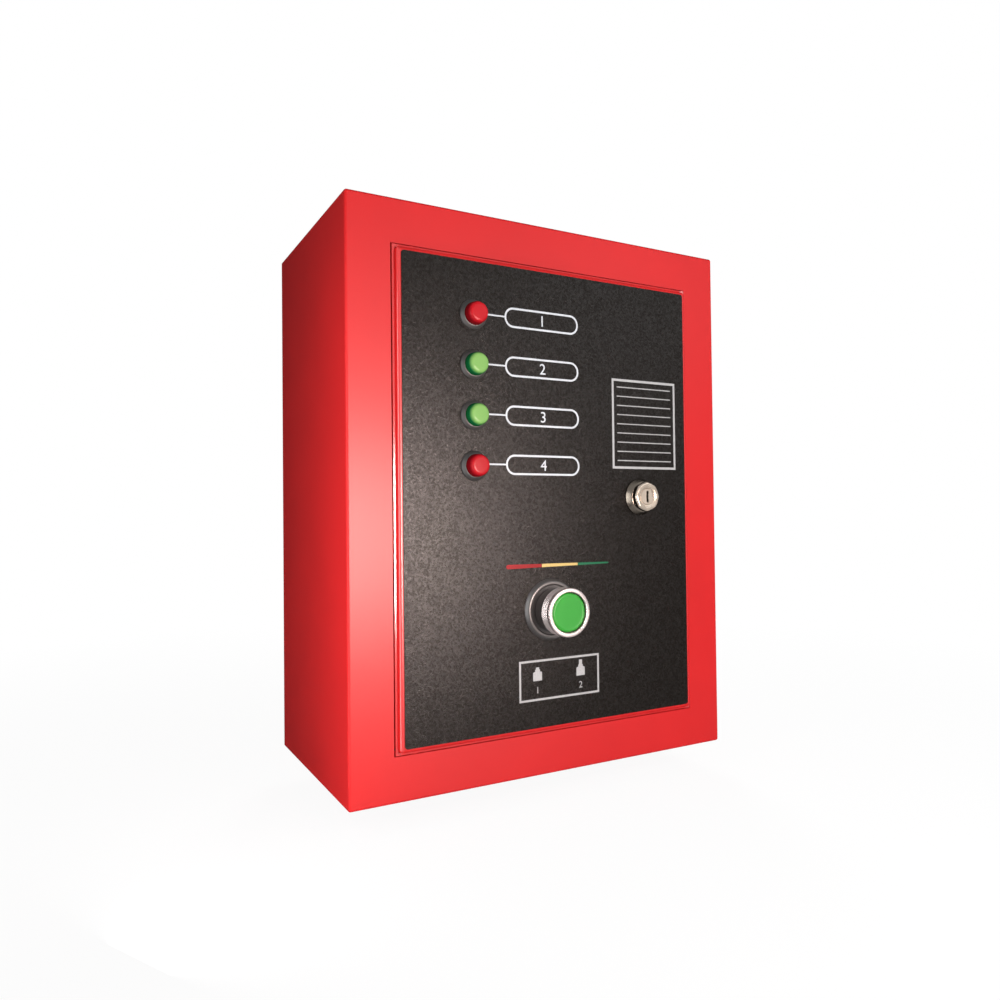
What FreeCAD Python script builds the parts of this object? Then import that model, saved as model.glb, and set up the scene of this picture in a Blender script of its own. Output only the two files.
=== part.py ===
"""Wall-mounted transfer switch: a red steel case with a hinged control door.

Frame: +Z up, the front faces -Y and the wall is at Y = 0. The origin is the
centre of the four wall bolts, on the back face. All sizes are in millimetres.
Every size is a cell of the "Sizes" sheet, and every shape is bound to it.
"""
import FreeCAD, Part
import math
import os
import re
import Sketcher

from FreeCAD import Placement, Rotation, Vector

SIZES = [
    # Case: folded sheet with a front border round the door opening.
    ("case_width", 300, "case, outside width"),
    ("case_height", 380, "case, outside height"),
    ("case_depth", 160, "case, wall to front border"),
    ("case_sheet", 1.2, "case sheet thickness"),
    ("case_bend", 1.8, "outside radius of the case's bends"),
    ("floor_edge", 10, "folded edge that carries the floor"),
    ("floor_thick", 1.5, "floor thickness"),
    ("border_side", 29.5, "front border beside the door opening"),
    ("border_end", 29, "front border above and below the opening"),
    ("lip_width", 8, "inward lip behind the door opening"),
    ("seal_thick", 3.7, "door seal thickness"),
    ("seal_gap", 0.3, "gap between the closed door and its seal"),
    # Back: wall bolts, and the plate that carries the switchgear.
    ("wall_bolt_x", 200, "wall bolts, spacing across"),
    ("wall_bolt_z", 304, "wall bolts, spacing up"),
    ("wall_bolt_hole", 3.5, "wall bolt hole radius"),
    ("plate_width", 230, "mounting plate width"),
    ("plate_height", 280, "mounting plate height"),
    ("plate_thick", 1.5, "mounting plate thickness"),
    ("plate_corner", 6, "mounting plate corner radius"),
    ("plate_stud_inset", 15, "plate studs from the plate's edges"),
    ("standoff_length", 12.8, "spacer between back panel and plate"),
    ("standoff_radius", 5, "spacer radius"),
    ("stud_radius", 3, "M6 stud radius"),
    ("stud_end", 1.5, "stud end that stands out of its nut"),
    ("stud_flats", 10, "M6 nut across flats"),
    ("stud_nut", 5, "M6 nut thickness"),
    ("fit_gap", 0.2, "radial gap of a screw or barrel in its hole"),
    ("thread_gap", 0.05, "radial gap of a nut on its thread"),
    # Door: a pan with turned edges on two hidden pins.
    ("door_gap", 2.5, "gap round the door"),
    ("door_proud", 4, "door face in front of the case border"),
    ("door_sheet", 1.2, "door sheet thickness"),
    ("door_rim", 12, "depth of the door's turned edge"),
    ("door_bend", 2.2, "outside radius of the door's bends"),
    ("hinge_inset", 12, "hinge pin from the door's left edge"),
    ("hinge_depth", 7, "hinge pin behind the door's face"),
    ("hinge_pin", 1.5, "hinge pin radius"),
    ("hinge_pin_reach", 5, "pin length inside the door's edge"),
    ("hinge_shoulder", 2.4, "radius of the pin's shoulder"),
    ("hinge_boss", 8, "height of the boss that holds the pin"),
    ("hinge_boss_side", 9, "width of the boss that holds the pin"),
    ("running_gap", 0.05, "radial running clearance"),
    ("side_play", 0.3, "gap between faces that move past each other"),
    # Printed front sheet.
    ("overlay_side", 3, "front sheet from the door's side edges"),
    ("overlay_end", 2.5, "front sheet from the door's top and bottom"),
    ("overlay_thick", 0.5, "front sheet thickness"),
    ("overlay_corner", 2, "front sheet corner radius"),
    # Lamps: one column of four.
    ("lamp_column", -65, "lamp column, across"),
    ("lamp_top", 120.5, "top lamp, up"),
    ("lamp_pitch", 33.1, "lamp spacing"),
    ("lamp_barrel", 5.9, "lamp barrel radius"),
    ("lamp_length", 24, "lamp barrel behind the door sheet"),
    ("lamp_ring", 9.9, "lamp ring radius"),
    ("lamp_ring_height", 3, "lamp ring height"),
    ("lamp_ring_floor", 1.4, "lamp ring thickness under the lens"),
    ("lens_radius", 7, "lens radius"),
    ("lens_face", 5.7, "radius of the lens's flat face"),
    ("lens_height", 10, "lens face in front of the front sheet"),
    ("lens_slope", 1.6, "height of the lens's sloped edge"),
    ("lens_wall", 1.3, "lens wall thickness"),
    ("lamp_flats", 16, "lamp nut across flats"),
    ("lamp_nut", 3.5, "lamp nut thickness"),
    ("lamp_tag_width", 3, "lamp terminal tag width"),
    ("lamp_tag_thick", 0.8, "lamp terminal tag thickness"),
    ("lamp_tag_length", 7, "lamp terminal tag length"),
    ("lamp_tag_spread", 6, "distance between the two tags"),
    # Push button.
    ("button_x", -7, "button, across"),
    ("button_z", -76.3, "button, up"),
    ("collar_radius", 21.2, "black collar radius"),
    ("collar_height", 3, "black collar height"),
    ("collar_bevel", 1.2, "bevel of the collar's edge"),
    ("neck_radius", 14.5, "button neck radius"),
    ("barrel_radius", 11, "button barrel radius"),
    ("barrel_length", 16, "button barrel behind the door sheet"),
    ("barrel_wall", 1.6, "button barrel wall"),
    ("bezel_radius", 15.8, "chrome bezel radius"),
    ("bezel_height", 10.4, "chrome bezel height"),
    ("bezel_lip", 4, "depth of the bezel's inner lip"),
    ("bezel_bevel", 1, "bevel of the bezel's front edge"),
    ("rim_height", 23.4, "bezel rim in front of the front sheet"),
    ("cap_radius", 13, "button cap radius"),
    ("cap_thick", 7, "button cap thickness"),
    ("cap_recess", 0.8, "button cap behind the rim"),
    ("cap_gap", 0.4, "radial gap round the cap"),
    ("cap_bevel", 0.6, "bevel of the cap's edge"),
    ("button_travel", 4, "button travel"),
    ("spring_wire", 0.5, "button spring wire radius"),
    ("spring_turns", 4, "button spring turns"),
    ("spring_runs", 16, "straight runs of wire in one turn"),
    ("button_flats", 27, "button locknut across flats"),
    ("button_nut", 4, "button locknut thickness"),
    ("carrier_width", 34, "contact carrier width"),
    ("carrier_height", 30, "contact carrier height"),
    ("carrier_grip", 4, "contact carrier's grip on the barrel"),
    ("contact_width", 10, "contact block width"),
    ("contact_height", 28, "contact block height"),
    ("contact_length", 22, "contact block length"),
    ("contact_spread", 6.5, "contact blocks from the button's axis"),
    # Cam lock.
    ("lock_inset", 47, "lock from the door's right edge"),
    ("lock_z", 1, "lock, up"),
    ("lock_head", 13.5, "lock head radius at its base"),
    ("lock_face", 11, "lock head radius at its face"),
    ("lock_height", 10, "lock head height"),
    ("lock_skirt", 3, "straight part of the lock head"),
    ("lock_barrel", 9.5, "lock barrel radius"),
    ("lock_flats", 24, "lock nut across flats"),
    ("lock_nut", 4, "lock nut thickness"),
    ("plug_radius", 6.2, "lock plug radius"),
    ("plug_recess", 0.5, "lock plug behind the lock face"),
    ("key_slot_width", 1.8, "keyway width"),
    ("key_slot_height", 8, "keyway height"),
    ("key_slot_depth", 9, "keyway depth"),
    ("cam_thick", 2, "cam thickness"),
    ("cam_half_width", 7.5, "cam half width"),
    ("cam_overlap", 5.5, "cam's hold behind the lip"),
    ("cam_flats", 10, "cam nut across flats"),
    ("cam_nut", 3.5, "cam nut thickness"),
    # DIN rails.
    ("rail_height", 35, "rail height over its lips"),
    ("rail_channel", 27, "rail channel height, outside"),
    ("rail_depth", 7.5, "rail depth"),
    ("rail_sheet", 1, "rail thickness"),
    ("rail_end", 4, "rail end past the pieces on it"),
    ("rail_screw", 2.4, "rail screw radius"),
    ("rail_screw_head", 4.3, "rail screw head radius"),
    ("rail_screw_thick", 2.6, "rail screw head thickness"),
    ("rail_screw_length", 7, "rail screw length under its head"),
    # Contactors.
    ("contactor_z", 84, "contactors, up"),
    ("contactor_x", 60, "middle of the contactor pair, across"),
    ("contactor_width", 45, "contactor width"),
    ("contactor_height", 74, "contactor height"),
    ("base_depth", 34, "contactor base depth"),
    ("deck_depth", 20, "contactor terminal deck depth"),
    ("nose_depth", 26, "contactor nose depth"),
    ("nose_height", 42, "contactor nose height"),
    ("contactor_bevel", 1, "contactor edge bevel"),
    ("pocket_width", 10, "terminal pocket width"),
    ("pocket_height", 10, "terminal pocket height"),
    ("pocket_pitch", 13.5, "terminal pocket spacing"),
    ("pocket_depth", 12, "terminal pocket depth"),
    ("screw_head", 3.8, "terminal screw head radius"),
    ("screw_thick", 3, "terminal screw head thickness"),
    ("screw_slot", 0.9, "terminal screw slot width"),
    ("clip_thick", 4, "rail clip thickness"),
    ("clip_reach", 3, "rail clip reach behind the rail's lip"),
    ("armature_width", 11, "armature width"),
    ("armature_height", 20, "armature height"),
    ("armature_length", 30, "armature length"),
    ("armature_proud", 3, "armature in front of its slot when released"),
    ("armature_travel", 4, "armature travel"),
    ("armature_gap", 0.4, "gap round an armature"),
    ("lug_radius", 1.5, "radius of an armature's interlock lug"),
    ("lug_depth", 10, "lugs behind the contactor noses at mid travel"),
    ("lug_play", 0.3, "gap round a lug in the rocker's fork"),
    # Interlock between the contactors.
    ("interlock_width", 12, "interlock width"),
    ("interlock_height", 34, "interlock height"),
    ("interlock_wall", 2, "interlock wall"),
    ("rocker_arm", 8, "rocker arm, pivot to lug"),
    ("rocker_thick", 4, "rocker thickness"),
    ("rocker_depth", 7, "rocker depth"),
    ("rocker_pin", 1.5, "rocker pin radius"),
    # Control board.
    ("board_beside", 11, "board's left edge outside the plate's left studs"),
    ("board_over", 11, "board's top edge above the plate's top studs"),
    ("board_width", 100, "board width"),
    ("board_height", 104, "board height"),
    ("board_thick", 1.6, "board thickness"),
    ("board_standoff", 12, "board spacer length"),
    ("support_radius", 3, "board support radius"),
    ("support_neck", 1.4, "board support neck radius"),
    ("support_head", 2.8, "board support head radius"),
    ("support_head_thick", 2, "board support head thickness"),
    ("support_inset", 5, "board supports from the board's edges"),
    ("relay_width", 15.5, "relay width"),
    ("relay_height", 19, "relay height"),
    ("relay_depth", 15.3, "relay depth"),
    ("relay_pitch", 18.5, "relay spacing"),
    ("relay_row", 23, "relay row above the board's centre"),
    ("transformer_width", 38, "transformer coil width"),
    ("transformer_height", 32, "transformer height"),
    ("transformer_depth", 30, "transformer depth"),
    ("transformer_core", 16, "transformer core depth"),
    ("capacitor_radius", 6.4, "large capacitor radius"),
    ("capacitor_length", 21, "large capacitor length"),
    ("capacitor_pitch", 15, "capacitor spacing"),
    ("chip_width", 10, "chip width"),
    ("chip_height", 23, "chip height"),
    ("chip_depth", 3.6, "chip depth"),
    ("header_width", 84, "screw header width"),
    ("header_height", 9, "screw header height"),
    ("header_depth", 11, "screw header depth"),
    ("header_inset", 2, "screw header from the board's edge"),
    ("header_ways", 14, "screw header ways"),
    ("header_screw_drop", 2, "screw holes' depth in the header"),
    ("fuse_length", 22, "fuse holder length"),
    ("fuse_side", 8, "fuse holder side"),
    # Terminals on the lower rail.
    ("terminal_z", -72, "terminals, up"),
    ("terminal_x", 4, "middle of the terminal row, across"),
    ("terminal_pitch", 10, "terminal width"),
    ("terminal_height", 48, "terminal height"),
    ("terminal_depth", 40, "terminal depth in front of its rail"),
    ("terminal_step", 13, "terminal shoulder height"),
    ("terminal_shoulder", 12, "terminal shoulder depth"),
    ("terminal_gap", 0.2, "gap between terminals"),
    ("terminal_entry", 3.2, "cable entry radius"),
    ("end_stop_width", 8, "end stop width"),
    ("end_stop_height", 40, "end stop height"),
    ("end_stop_depth", 26, "end stop depth"),
    # Cable glands in the bottom.
    ("gland_y", -60, "glands, in front of the wall"),
    ("gland_x", -30, "middle power gland, across"),
    ("gland_pitch", 46, "power gland spacing"),
    ("gland_thread", 12.5, "power gland thread radius"),
    ("gland_bore", 8, "power gland bore radius"),
    ("gland_flats", 29, "power gland across flats"),
    ("small_gland_x", 58, "control gland, across"),
    ("small_gland_thread", 8, "control gland thread radius"),
    ("small_gland_bore", 4, "control gland bore radius"),
    ("small_gland_flats", 20, "control gland across flats"),
    ("gland_inside", 9, "gland thread inside the case"),
    ("gland_flange", 5, "gland flange thickness"),
    ("gland_neck", 8, "gland neck length"),
    ("gland_neck_wall", 1.2, "neck smaller than the thread, radius"),
    ("gland_cap", 16, "gland cap length"),
    ("gland_cap_wall", 1.8, "gland cap wall"),
    ("gland_seal", 5, "gland seal length"),
    ("gland_nut", 5, "gland locknut thickness"),
    # Earth stud inside, on the bottom.
    ("earth_inset", 46, "earth stud from the case's right side"),
    ("earth_shoulder", 12, "threaded part under the earth stud's end"),
    ("earth_end", 8, "free end of the earth stud"),
    ("earth_end_radius", 2.5, "radius of the earth stud's free end"),
    ("washer_radius", 6, "washer radius"),
    ("washer_thick", 1, "washer thickness"),
]

NAMES = {name for name, value, meaning in SIZES}

# Places that several pieces share, written with the names above.
PANEL_FRONT = "(-case_sheet)"
PLATE_BACK = f"({PANEL_FRONT} - standoff_length)"
PLATE_FRONT = f"({PLATE_BACK} - plate_thick)"
RAIL_FRONT = f"({PLATE_FRONT} - rail_depth)"
FRAME_FACE = "(-case_depth)"
FRAME_BACK = f"({FRAME_FACE} + case_sheet)"
DOOR_FACE = f"({FRAME_FACE} - door_proud)"
DOOR_BACK = f"({DOOR_FACE} + door_sheet)"
SHEET_FACE = f"({DOOR_FACE} - overlay_thick)"
RIM_BACK = f"({DOOR_FACE} + door_rim)"
LIP_FRONT = f"({RIM_BACK} + seal_gap + seal_thick)"
LIP_BACK = f"({LIP_FRONT} + case_sheet)"
OPENING_X = "(case_width / 2 - border_side)"
OPENING_Z = "(case_height / 2 - border_end)"
DOOR_X = f"({OPENING_X} - door_gap)"
DOOR_Z = f"({OPENING_Z} - door_gap)"
HINGE_X = f"(hinge_inset - {DOOR_X})"
LOCK_X = f"({DOOR_X} - lock_inset)"
BOARD_X = "(plate_stud_inset - plate_width / 2 - board_beside + board_width / 2)"
BOARD_Z = "(plate_height / 2 - plate_stud_inset + board_over - board_height / 2)"
HINGE_Y = f"({DOOR_FACE} + hinge_depth)"
HINGE_SWEEP = "sqrt(hinge_inset * hinge_inset + hinge_depth * hinge_depth)"
FLOOR_UNDERSIDE = "(-case_height / 2 + case_sheet)"
CASE_FLOOR = f"({FLOOR_UNDERSIDE} + floor_thick)"

DOC = FreeCAD.newDocument("TransferSwitch")
SHEET = DOC.addObject("Spreadsheet::Sheet", "Sizes")
NODES = []


def fill_sheet():
    """One row per size: its meaning, and its value under its alias."""
    for row, (name, value, meaning) in enumerate(SIZES, start=1):
        SHEET.set(f"A{row}", meaning)
        SHEET.set(f"B{row}", str(value))
        SHEET.setAlias(f"B{row}", name)
    DOC.recompute()


def link(text):
    """The expression with each size's name pointing at its cell."""
    return re.sub(r"[a-z][a-z_0-9]*", lambda word: f"Sizes.{word[0]}" if word[0] in NAMES else word[0], text)


def bind(thing, prop, text):
    thing.setExpression(prop, link(text))


def size(name):
    return float(SHEET.get(name))


def node(thing, label):
    """Names a finished sub-part, and lists it for export."""
    thing.Label = label
    NODES.append(thing)
    return thing


# ---- Part primitives: each place is a (low, high) pair of expressions ----

def block(x, y, z):
    solid = DOC.addObject("Part::Box", "Block")
    for prop, axis, (low, high) in (("Length", "x", x), ("Width", "y", y), ("Height", "z", z)):
        bind(solid, prop, f"({high}) - ({low})")
        bind(solid, f".Placement.Base.{axis}", low)
    return solid


TURNS = {"x": Rotation(Vector(0, 1, 0), 90), "y": Rotation(Vector(1, 0, 0), -90), "z": Rotation()}


def place_along(solid, axis, centre, span):
    """Stands a solid's own height along an axis, from span's low end to its high end."""
    solid.Placement = Placement(Vector(), TURNS[axis])
    across = [name for name in "xyz" if name != axis]
    for name, text in zip(across, centre):
        bind(solid, f".Placement.Base.{name}", text)
    bind(solid, f".Placement.Base.{axis}", span[0])
    bind(solid, "Height", f"({span[1]}) - ({span[0]})")
    return solid


def rod(axis, centre, radius, span):
    solid = DOC.addObject("Part::Cylinder", "Rod")
    bind(solid, "Radius", radius)
    return place_along(solid, axis, centre, span)


def hexagon(axis, centre, flats, span):
    solid = DOC.addObject("Part::Prism", "Hexagon")
    solid.Polygon = 6
    bind(solid, "Circumradius", f"({flats}) / sqrt(3)")
    return place_along(solid, axis, centre, span)


def gather(kind, name, pieces):
    whole = DOC.addObject(kind, name)
    setattr(whole, "Links" if kind == "Part::Compound" else "Shapes", pieces)
    return whole


def fuse(*pieces):
    return gather("Part::MultiFuse", "Fused", list(pieces))


def group(label, pieces):
    """A node of separate solids."""
    return node(gather("Part::Compound", label, list(pieces)), label)


def cut(base, *tools):
    result = DOC.addObject("Part::Cut", "Cut")
    result.Base = base
    result.Tool = tools[0] if len(tools) == 1 else gather("Part::Compound", "Tools", list(tools))
    return result


def nut(axis, centre, flats, bore, span):
    """A hexagon nut with a plain bore."""
    through = (f"({span[0]}) - 1", f"({span[1]}) + 1")
    return cut(hexagon(axis, centre, flats, span), rod(axis, centre, bore, through))


def screw(axis, centre, head, head_span, shank, shank_span):
    """A round head and a plain shank that meet face to face."""
    return fuse(rod(axis, centre, head, head_span), rod(axis, centre, shank, shank_span))


# ---- PartDesign bodies ----

def rectangle(u, v):
    """Corners of a rectangle, from its (low, high) pairs."""
    return [(u[0], v[0]), (u[1], v[0]), (u[1], v[1]), (u[0], v[1])]


def centred(width, height, u="0", v="0"):
    return rectangle(
        (f"({u}) - ({width}) / 2", f"({u}) + ({width}) / 2"),
        (f"({v}) - ({height}) / 2", f"({v}) + ({height}) / 2"),
    )


def add_loop(sketch, corners):
    """A closed outline whose corners are each bound to two expressions."""
    first = sketch.GeometryCount
    count = len(corners)
    guess = [Vector(math.cos(math.tau * i / count), math.sin(math.tau * i / count), 0) for i in range(count)]
    for i in range(count):
        sketch.addGeometry(Part.LineSegment(guess[i], guess[(i + 1) % count]), False)
    for i in range(count):
        after = first + (i + 1) % count
        sketch.addConstraint(Sketcher.Constraint("Coincident", first + i, 2, after, 1))
    for i, corner in enumerate(corners):
        fix_point(sketch, first + i, 1, corner, guess[i])


def add_circle(sketch, u, v, radius):
    index = sketch.addGeometry(Part.Circle(Vector(1, 1, 0), Vector(0, 0, 1), 1), False)
    constraint = sketch.addConstraint(Sketcher.Constraint("Radius", index, 1))
    bind(sketch, f"Constraints[{constraint}]", radius)
    fix_point(sketch, index, 3, (u, v), Vector(1, 1, 0))


def fix_point(sketch, index, point, place, guess):
    """Ties a point of the sketch to two distances from its origin."""
    for kind, text, value in (("DistanceX", place[0], guess.x), ("DistanceY", place[1], guess.y)):
        constraint = sketch.addConstraint(Sketcher.Constraint(kind, -1, 1, index, point, value))
        bind(sketch, f"Constraints[{constraint}]", text)


def add_sketch(body, plane, offset, loops):
    """A sketch on one of the body's own planes; a loop is corners or a (u, v, radius) circle."""
    sketch = body.newObject("Sketcher::SketchObject", "Outline")
    origin = next(item for item in body.Origin.OriginFeatures if item.Role == plane)
    sketch.AttachmentSupport = [(origin, "")]
    sketch.MapMode = "FlatFace"
    bind(sketch, ".AttachmentOffset.Base.z", offset)
    for loop in loops:
        if isinstance(loop, tuple):
            add_circle(sketch, *loop)
        else:
            add_loop(sketch, loop)
    return sketch


# For each plane: is the sketch's normal along its axis, and so where a pad starts.
NORMAL_IS_POSITIVE = {"XZ_Plane": False, "XY_Plane": True, "YZ_Plane": True}


def pad(body, plane, span, *loops):
    """Adds the outline between two places along the plane's normal."""
    low, high = span
    start = low if NORMAL_IS_POSITIVE[plane] else f"-({high})"
    feature = body.newObject("PartDesign::Pad", "Pad")
    feature.Profile = add_sketch(body, plane, start, loops)
    bind(feature, "Length", f"({high}) - ({low})")
    return feature


def pocket(body, plane, span, *loops):
    """Cuts the outline between two places along the plane's normal, and checks that it cut."""
    low, high = span
    start = high if NORMAL_IS_POSITIVE[plane] else f"-({low})"
    DOC.recompute()
    before = body.Shape.Volume
    feature = body.newObject("PartDesign::Pocket", "Pocket")
    feature.Profile = add_sketch(body, plane, start, loops)
    bind(feature, "Length", f"({high}) - ({low})")
    DOC.recompute()
    if body.Shape.Volume >= before:
        raise RuntimeError(f"a pocket cut nothing from {body.Label}")
    return feature


def round_edges(body, radius, chosen):
    """Rounds the chosen edges of the body as it stands."""
    DOC.recompute()
    tip = body.Tip
    names = [f"Edge{index}" for index, edge in enumerate(tip.Shape.Edges, start=1) if chosen(edge)]
    feature = body.newObject("PartDesign::Fillet", "Round")
    feature.Base = (tip, names)
    bind(feature, "Radius", radius)
    return feature


def new_body(label):
    return node(DOC.addObject("PartDesign::Body", label), label)


def turned(name, axis, centre, points):
    """A solid of revolution: points are (radius, place along the axis)."""
    body = DOC.addObject("PartDesign::Body", name)
    plane = {"y": "XY_Plane", "z": "XZ_Plane"}[axis]
    feature = body.newObject("PartDesign::Revolution", "Turned")
    sketch = add_sketch(body, plane, "0", [list(points)])
    feature.Profile = sketch
    feature.ReferenceAxis = (sketch, ["V_Axis"])
    feature.Angle = 360
    across = [letter for letter in "xyz" if letter != axis]
    for letter, text in zip(across, centre):
        bind(body, f".Placement.Base.{letter}", text)
    return body


def in_front(height):
    """A place so far in front of the printed front sheet."""
    return f"({SHEET_FACE} - ({height}))"


def along_y(edge):
    box = edge.BoundBox
    return box.YLength > 1 and box.XLength + box.ZLength < 0.01


# ---- Case ----

def enclosure_shell():
    """Three sides, a front border, and an edge folded in along the bottom to carry the floor."""
    body = new_body("enclosure_shell")
    pad(body, "XZ_Plane", (FRAME_FACE, "0"), centred("case_width", "case_height"))
    round_edges(body, "case_bend", lambda edge: edge.BoundBox.YMin < -1)
    inside = centred("case_width - 2 * case_sheet", "case_height - 2 * case_sheet")
    pocket(body, "XZ_Plane", (f"{FRAME_FACE} + case_sheet", "1"), inside)
    opening = centred(f"2 * {OPENING_X}", f"2 * {OPENING_Z}")
    pocket(body, "XZ_Plane", (f"{FRAME_FACE} - 1", f"{FRAME_FACE} + 2 * case_sheet"), opening)
    side = "(case_width / 2 - floor_edge)"
    floor = rectangle((f"-{side}", side), (f"{FRAME_FACE} + floor_edge", "1"))
    pocket(body, "XY_Plane", ("-case_height / 2 - 1", f"{FLOOR_UNDERSIDE} + 1"), floor)


def door_frame():
    """The return round the door opening, its lip on the three sides away from the hinge, and the bosses."""
    body = new_body("door_frame")
    opening = centred(f"2 * {OPENING_X}", f"2 * {OPENING_Z}")
    around = centred(f"2 * ({OPENING_X} + case_sheet)", f"2 * ({OPENING_Z} + case_sheet)")
    pad(body, "XZ_Plane", (FRAME_BACK, LIP_BACK), around, opening)
    pad(body, "XZ_Plane", (LIP_FRONT, LIP_BACK), three_sides())
    hinge_bosses(body)


def three_sides():
    """Outline of a strip on the top, right and bottom of the opening, clear of the door's sweep."""
    start = f"{HINGE_X} + {HINGE_SWEEP} + side_play"
    inner_x, inner_z = f"({OPENING_X} - lip_width)", f"({OPENING_Z} - lip_width)"
    return [
        (start, OPENING_Z), (OPENING_X, OPENING_Z), (OPENING_X, f"-{OPENING_Z}"), (start, f"-{OPENING_Z}"),
        (start, f"-{inner_z}"), (inner_x, f"-{inner_z}"), (inner_x, inner_z), (start, inner_z),
    ]


def hinge_bosses(body):
    """A welded boss above and below the opening, bored for the hinge pin."""
    inner = f"({OPENING_Z} + case_sheet)"
    outer = f"({inner} + hinge_boss)"
    foot = rectangle(
        (f"{HINGE_X} - hinge_boss_side / 2", f"{HINGE_X} + hinge_boss_side / 2"),
        (FRAME_BACK, f"{FRAME_BACK} + hinge_boss_side"),
    )
    bore = (HINGE_X, HINGE_Y, "hinge_pin + running_gap")
    for low, high in ((inner, outer), (f"-{outer}", f"-{inner}")):
        pad(body, "XY_Plane", (low, high), foot)
    for low, high in ((OPENING_Z, outer), (f"-{outer}", f"-{OPENING_Z}")):
        pocket(body, "XY_Plane", (f"{low} - 0.5", f"{high} + 0.5"), bore)


GLANDS = [
    ("gland_x - gland_pitch", "gland_thread", "gland_bore", "gland_flats"),
    ("gland_x", "gland_thread", "gland_bore", "gland_flats"),
    ("gland_x + gland_pitch", "gland_thread", "gland_bore", "gland_flats"),
    ("small_gland_x", "small_gland_thread", "small_gland_bore", "small_gland_flats"),
]


def case_floor():
    """The floor, welded on the folded edge, with the gland holes."""
    body = new_body("case_floor")
    side = "(case_width / 2 - case_sheet)"
    outline = rectangle((f"-{side}", side), (FRAME_BACK, PANEL_FRONT))
    holes = [(x, "gland_y", f"{thread} + fit_gap") for x, thread, bore, flats in GLANDS]
    pad(body, "XY_Plane", (FLOOR_UNDERSIDE, CASE_FLOOR), outline, *holes)


def back_panel():
    body = new_body("back_panel")
    outline = centred("case_width - 2 * case_sheet", "case_height - 2 * case_sheet")
    holes = [
        (f"{side} * wall_bolt_x / 2", f"{level} * wall_bolt_z / 2", "wall_bolt_hole")
        for side in (-1, 1) for level in (-1, 1)
    ]
    pad(body, "XZ_Plane", (PANEL_FRONT, "0"), outline, *holes)


def plate_studs():
    """Places of the four studs that carry the mounting plate."""
    across = "(plate_width / 2 - plate_stud_inset)"
    up = "(plate_height / 2 - plate_stud_inset)"
    return [(f"{side} * {across}", f"{level} * {up}") for side in (-1, 1) for level in (-1, 1)]


def rail_screws_at(centre, rail_x, length):
    """Two screws, a quarter of the rail's length from each end."""
    return [(f"{rail_x} + {side} * ({length}) / 4", centre) for side in (-1, 1)]


CONTACTOR_RAIL_LENGTH = "(2 * contactor_width + interlock_width + 2 * rail_end)"
TERMINAL_NODES = ["mains_terminals", "generator_terminals", "load_terminals"]
TERMINAL_NODES = [label for label in TERMINAL_NODES for pole in ("live", "neutral")] + ["earth_terminal"]
TERMINAL_ROW = f"({len(TERMINAL_NODES)} * terminal_pitch)"
TERMINAL_RAIL_LENGTH = f"({TERMINAL_ROW} + 2 * end_stop_width + 2 * rail_end)"
RAILS = [
    ("contactor_rail", "contactor_x", "contactor_z", CONTACTOR_RAIL_LENGTH),
    ("terminal_rail", "terminal_x", "terminal_z", TERMINAL_RAIL_LENGTH),
]


def board_corners():
    """Places of the four board supports."""
    across = "(board_width / 2 - support_inset)"
    up = "(board_height / 2 - support_inset)"
    return [
        (f"{BOARD_X} + {side} * {across}", f"{BOARD_Z} + {level} * {up}")
        for side in (-1, 1) for level in (-1, 1)
    ]


def mounting_plate():
    body = new_body("mounting_plate")
    holes = [(x, z, "stud_radius + fit_gap") for x, z in plate_studs()]
    for label, rail_x, rail_z, length in RAILS:
        holes += [(x, z, "rail_screw + fit_gap") for x, z in rail_screws_at(rail_z, rail_x, length)]
    pad(body, "XZ_Plane", (PLATE_FRONT, PLATE_BACK), centred("plate_width", "plate_height"))
    round_edges(body, "plate_corner", along_y)
    pocket(body, "XZ_Plane", (f"{PLATE_FRONT} - 1", f"{PLATE_BACK} + 1"), *holes)


def plate_standoffs():
    """Spacers with studs on the back panel."""
    stud_front = f"{PLATE_FRONT} - stud_nut - stud_end"
    spacers = [
        fuse(
            rod("y", place, "standoff_radius", (PLATE_BACK, PANEL_FRONT)),
            rod("y", place, "stud_radius", (stud_front, PANEL_FRONT)),
        )
        for place in plate_studs()
    ]
    group("plate_standoffs", spacers)


def rail(label, rail_x, rail_z, length):
    """A top-hat rail, extruded across the plate."""
    body = new_body(label)
    lip = "(rail_height / 2)"
    web = "(rail_channel / 2)"
    back, front = PLATE_FRONT, RAIL_FRONT
    half = [
        (front, lip), (front, f"{web} - rail_sheet"), (f"{back} - rail_sheet", f"{web} - rail_sheet"),
    ]
    outer = [(back, web), (f"{front} + rail_sheet", web), (f"{front} + rail_sheet", lip)]
    profile = [(y, f"{rail_z} + {z}") for y, z in half]
    profile += [(y, f"{rail_z} - ({z})") for y, z in reversed(half)]
    profile += [(y, f"{rail_z} - {z}") for y, z in reversed(outer)]
    profile += [(y, f"{rail_z} + {z}") for y, z in outer]
    span = (f"{rail_x} - {length} / 2", f"{rail_x} + {length} / 2")
    pad(body, "YZ_Plane", span, profile)
    holes = [(x, z, "rail_screw + fit_gap") for x, z in rail_screws_at(rail_z, rail_x, length)]
    pocket(body, "XZ_Plane", (f"{back} - 2 * rail_sheet", f"{back} + 1"), *holes)


def rails():
    for label, rail_x, rail_z, length in RAILS:
        rail(label, rail_x, rail_z, length)
    floor = f"({PLATE_FRONT} - rail_sheet)"
    screws = []
    for label, rail_x, rail_z, length in RAILS:
        for place in rail_screws_at(rail_z, rail_x, length):
            head = (f"{floor} - rail_screw_thick", floor)
            shank = (floor, f"{floor} + rail_screw_length")
            screws.append(screw("y", place, "rail_screw_head", head, "rail_screw", shank))
    group("rail_screws", screws)


# ---- Contactors and their interlock ----

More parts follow.
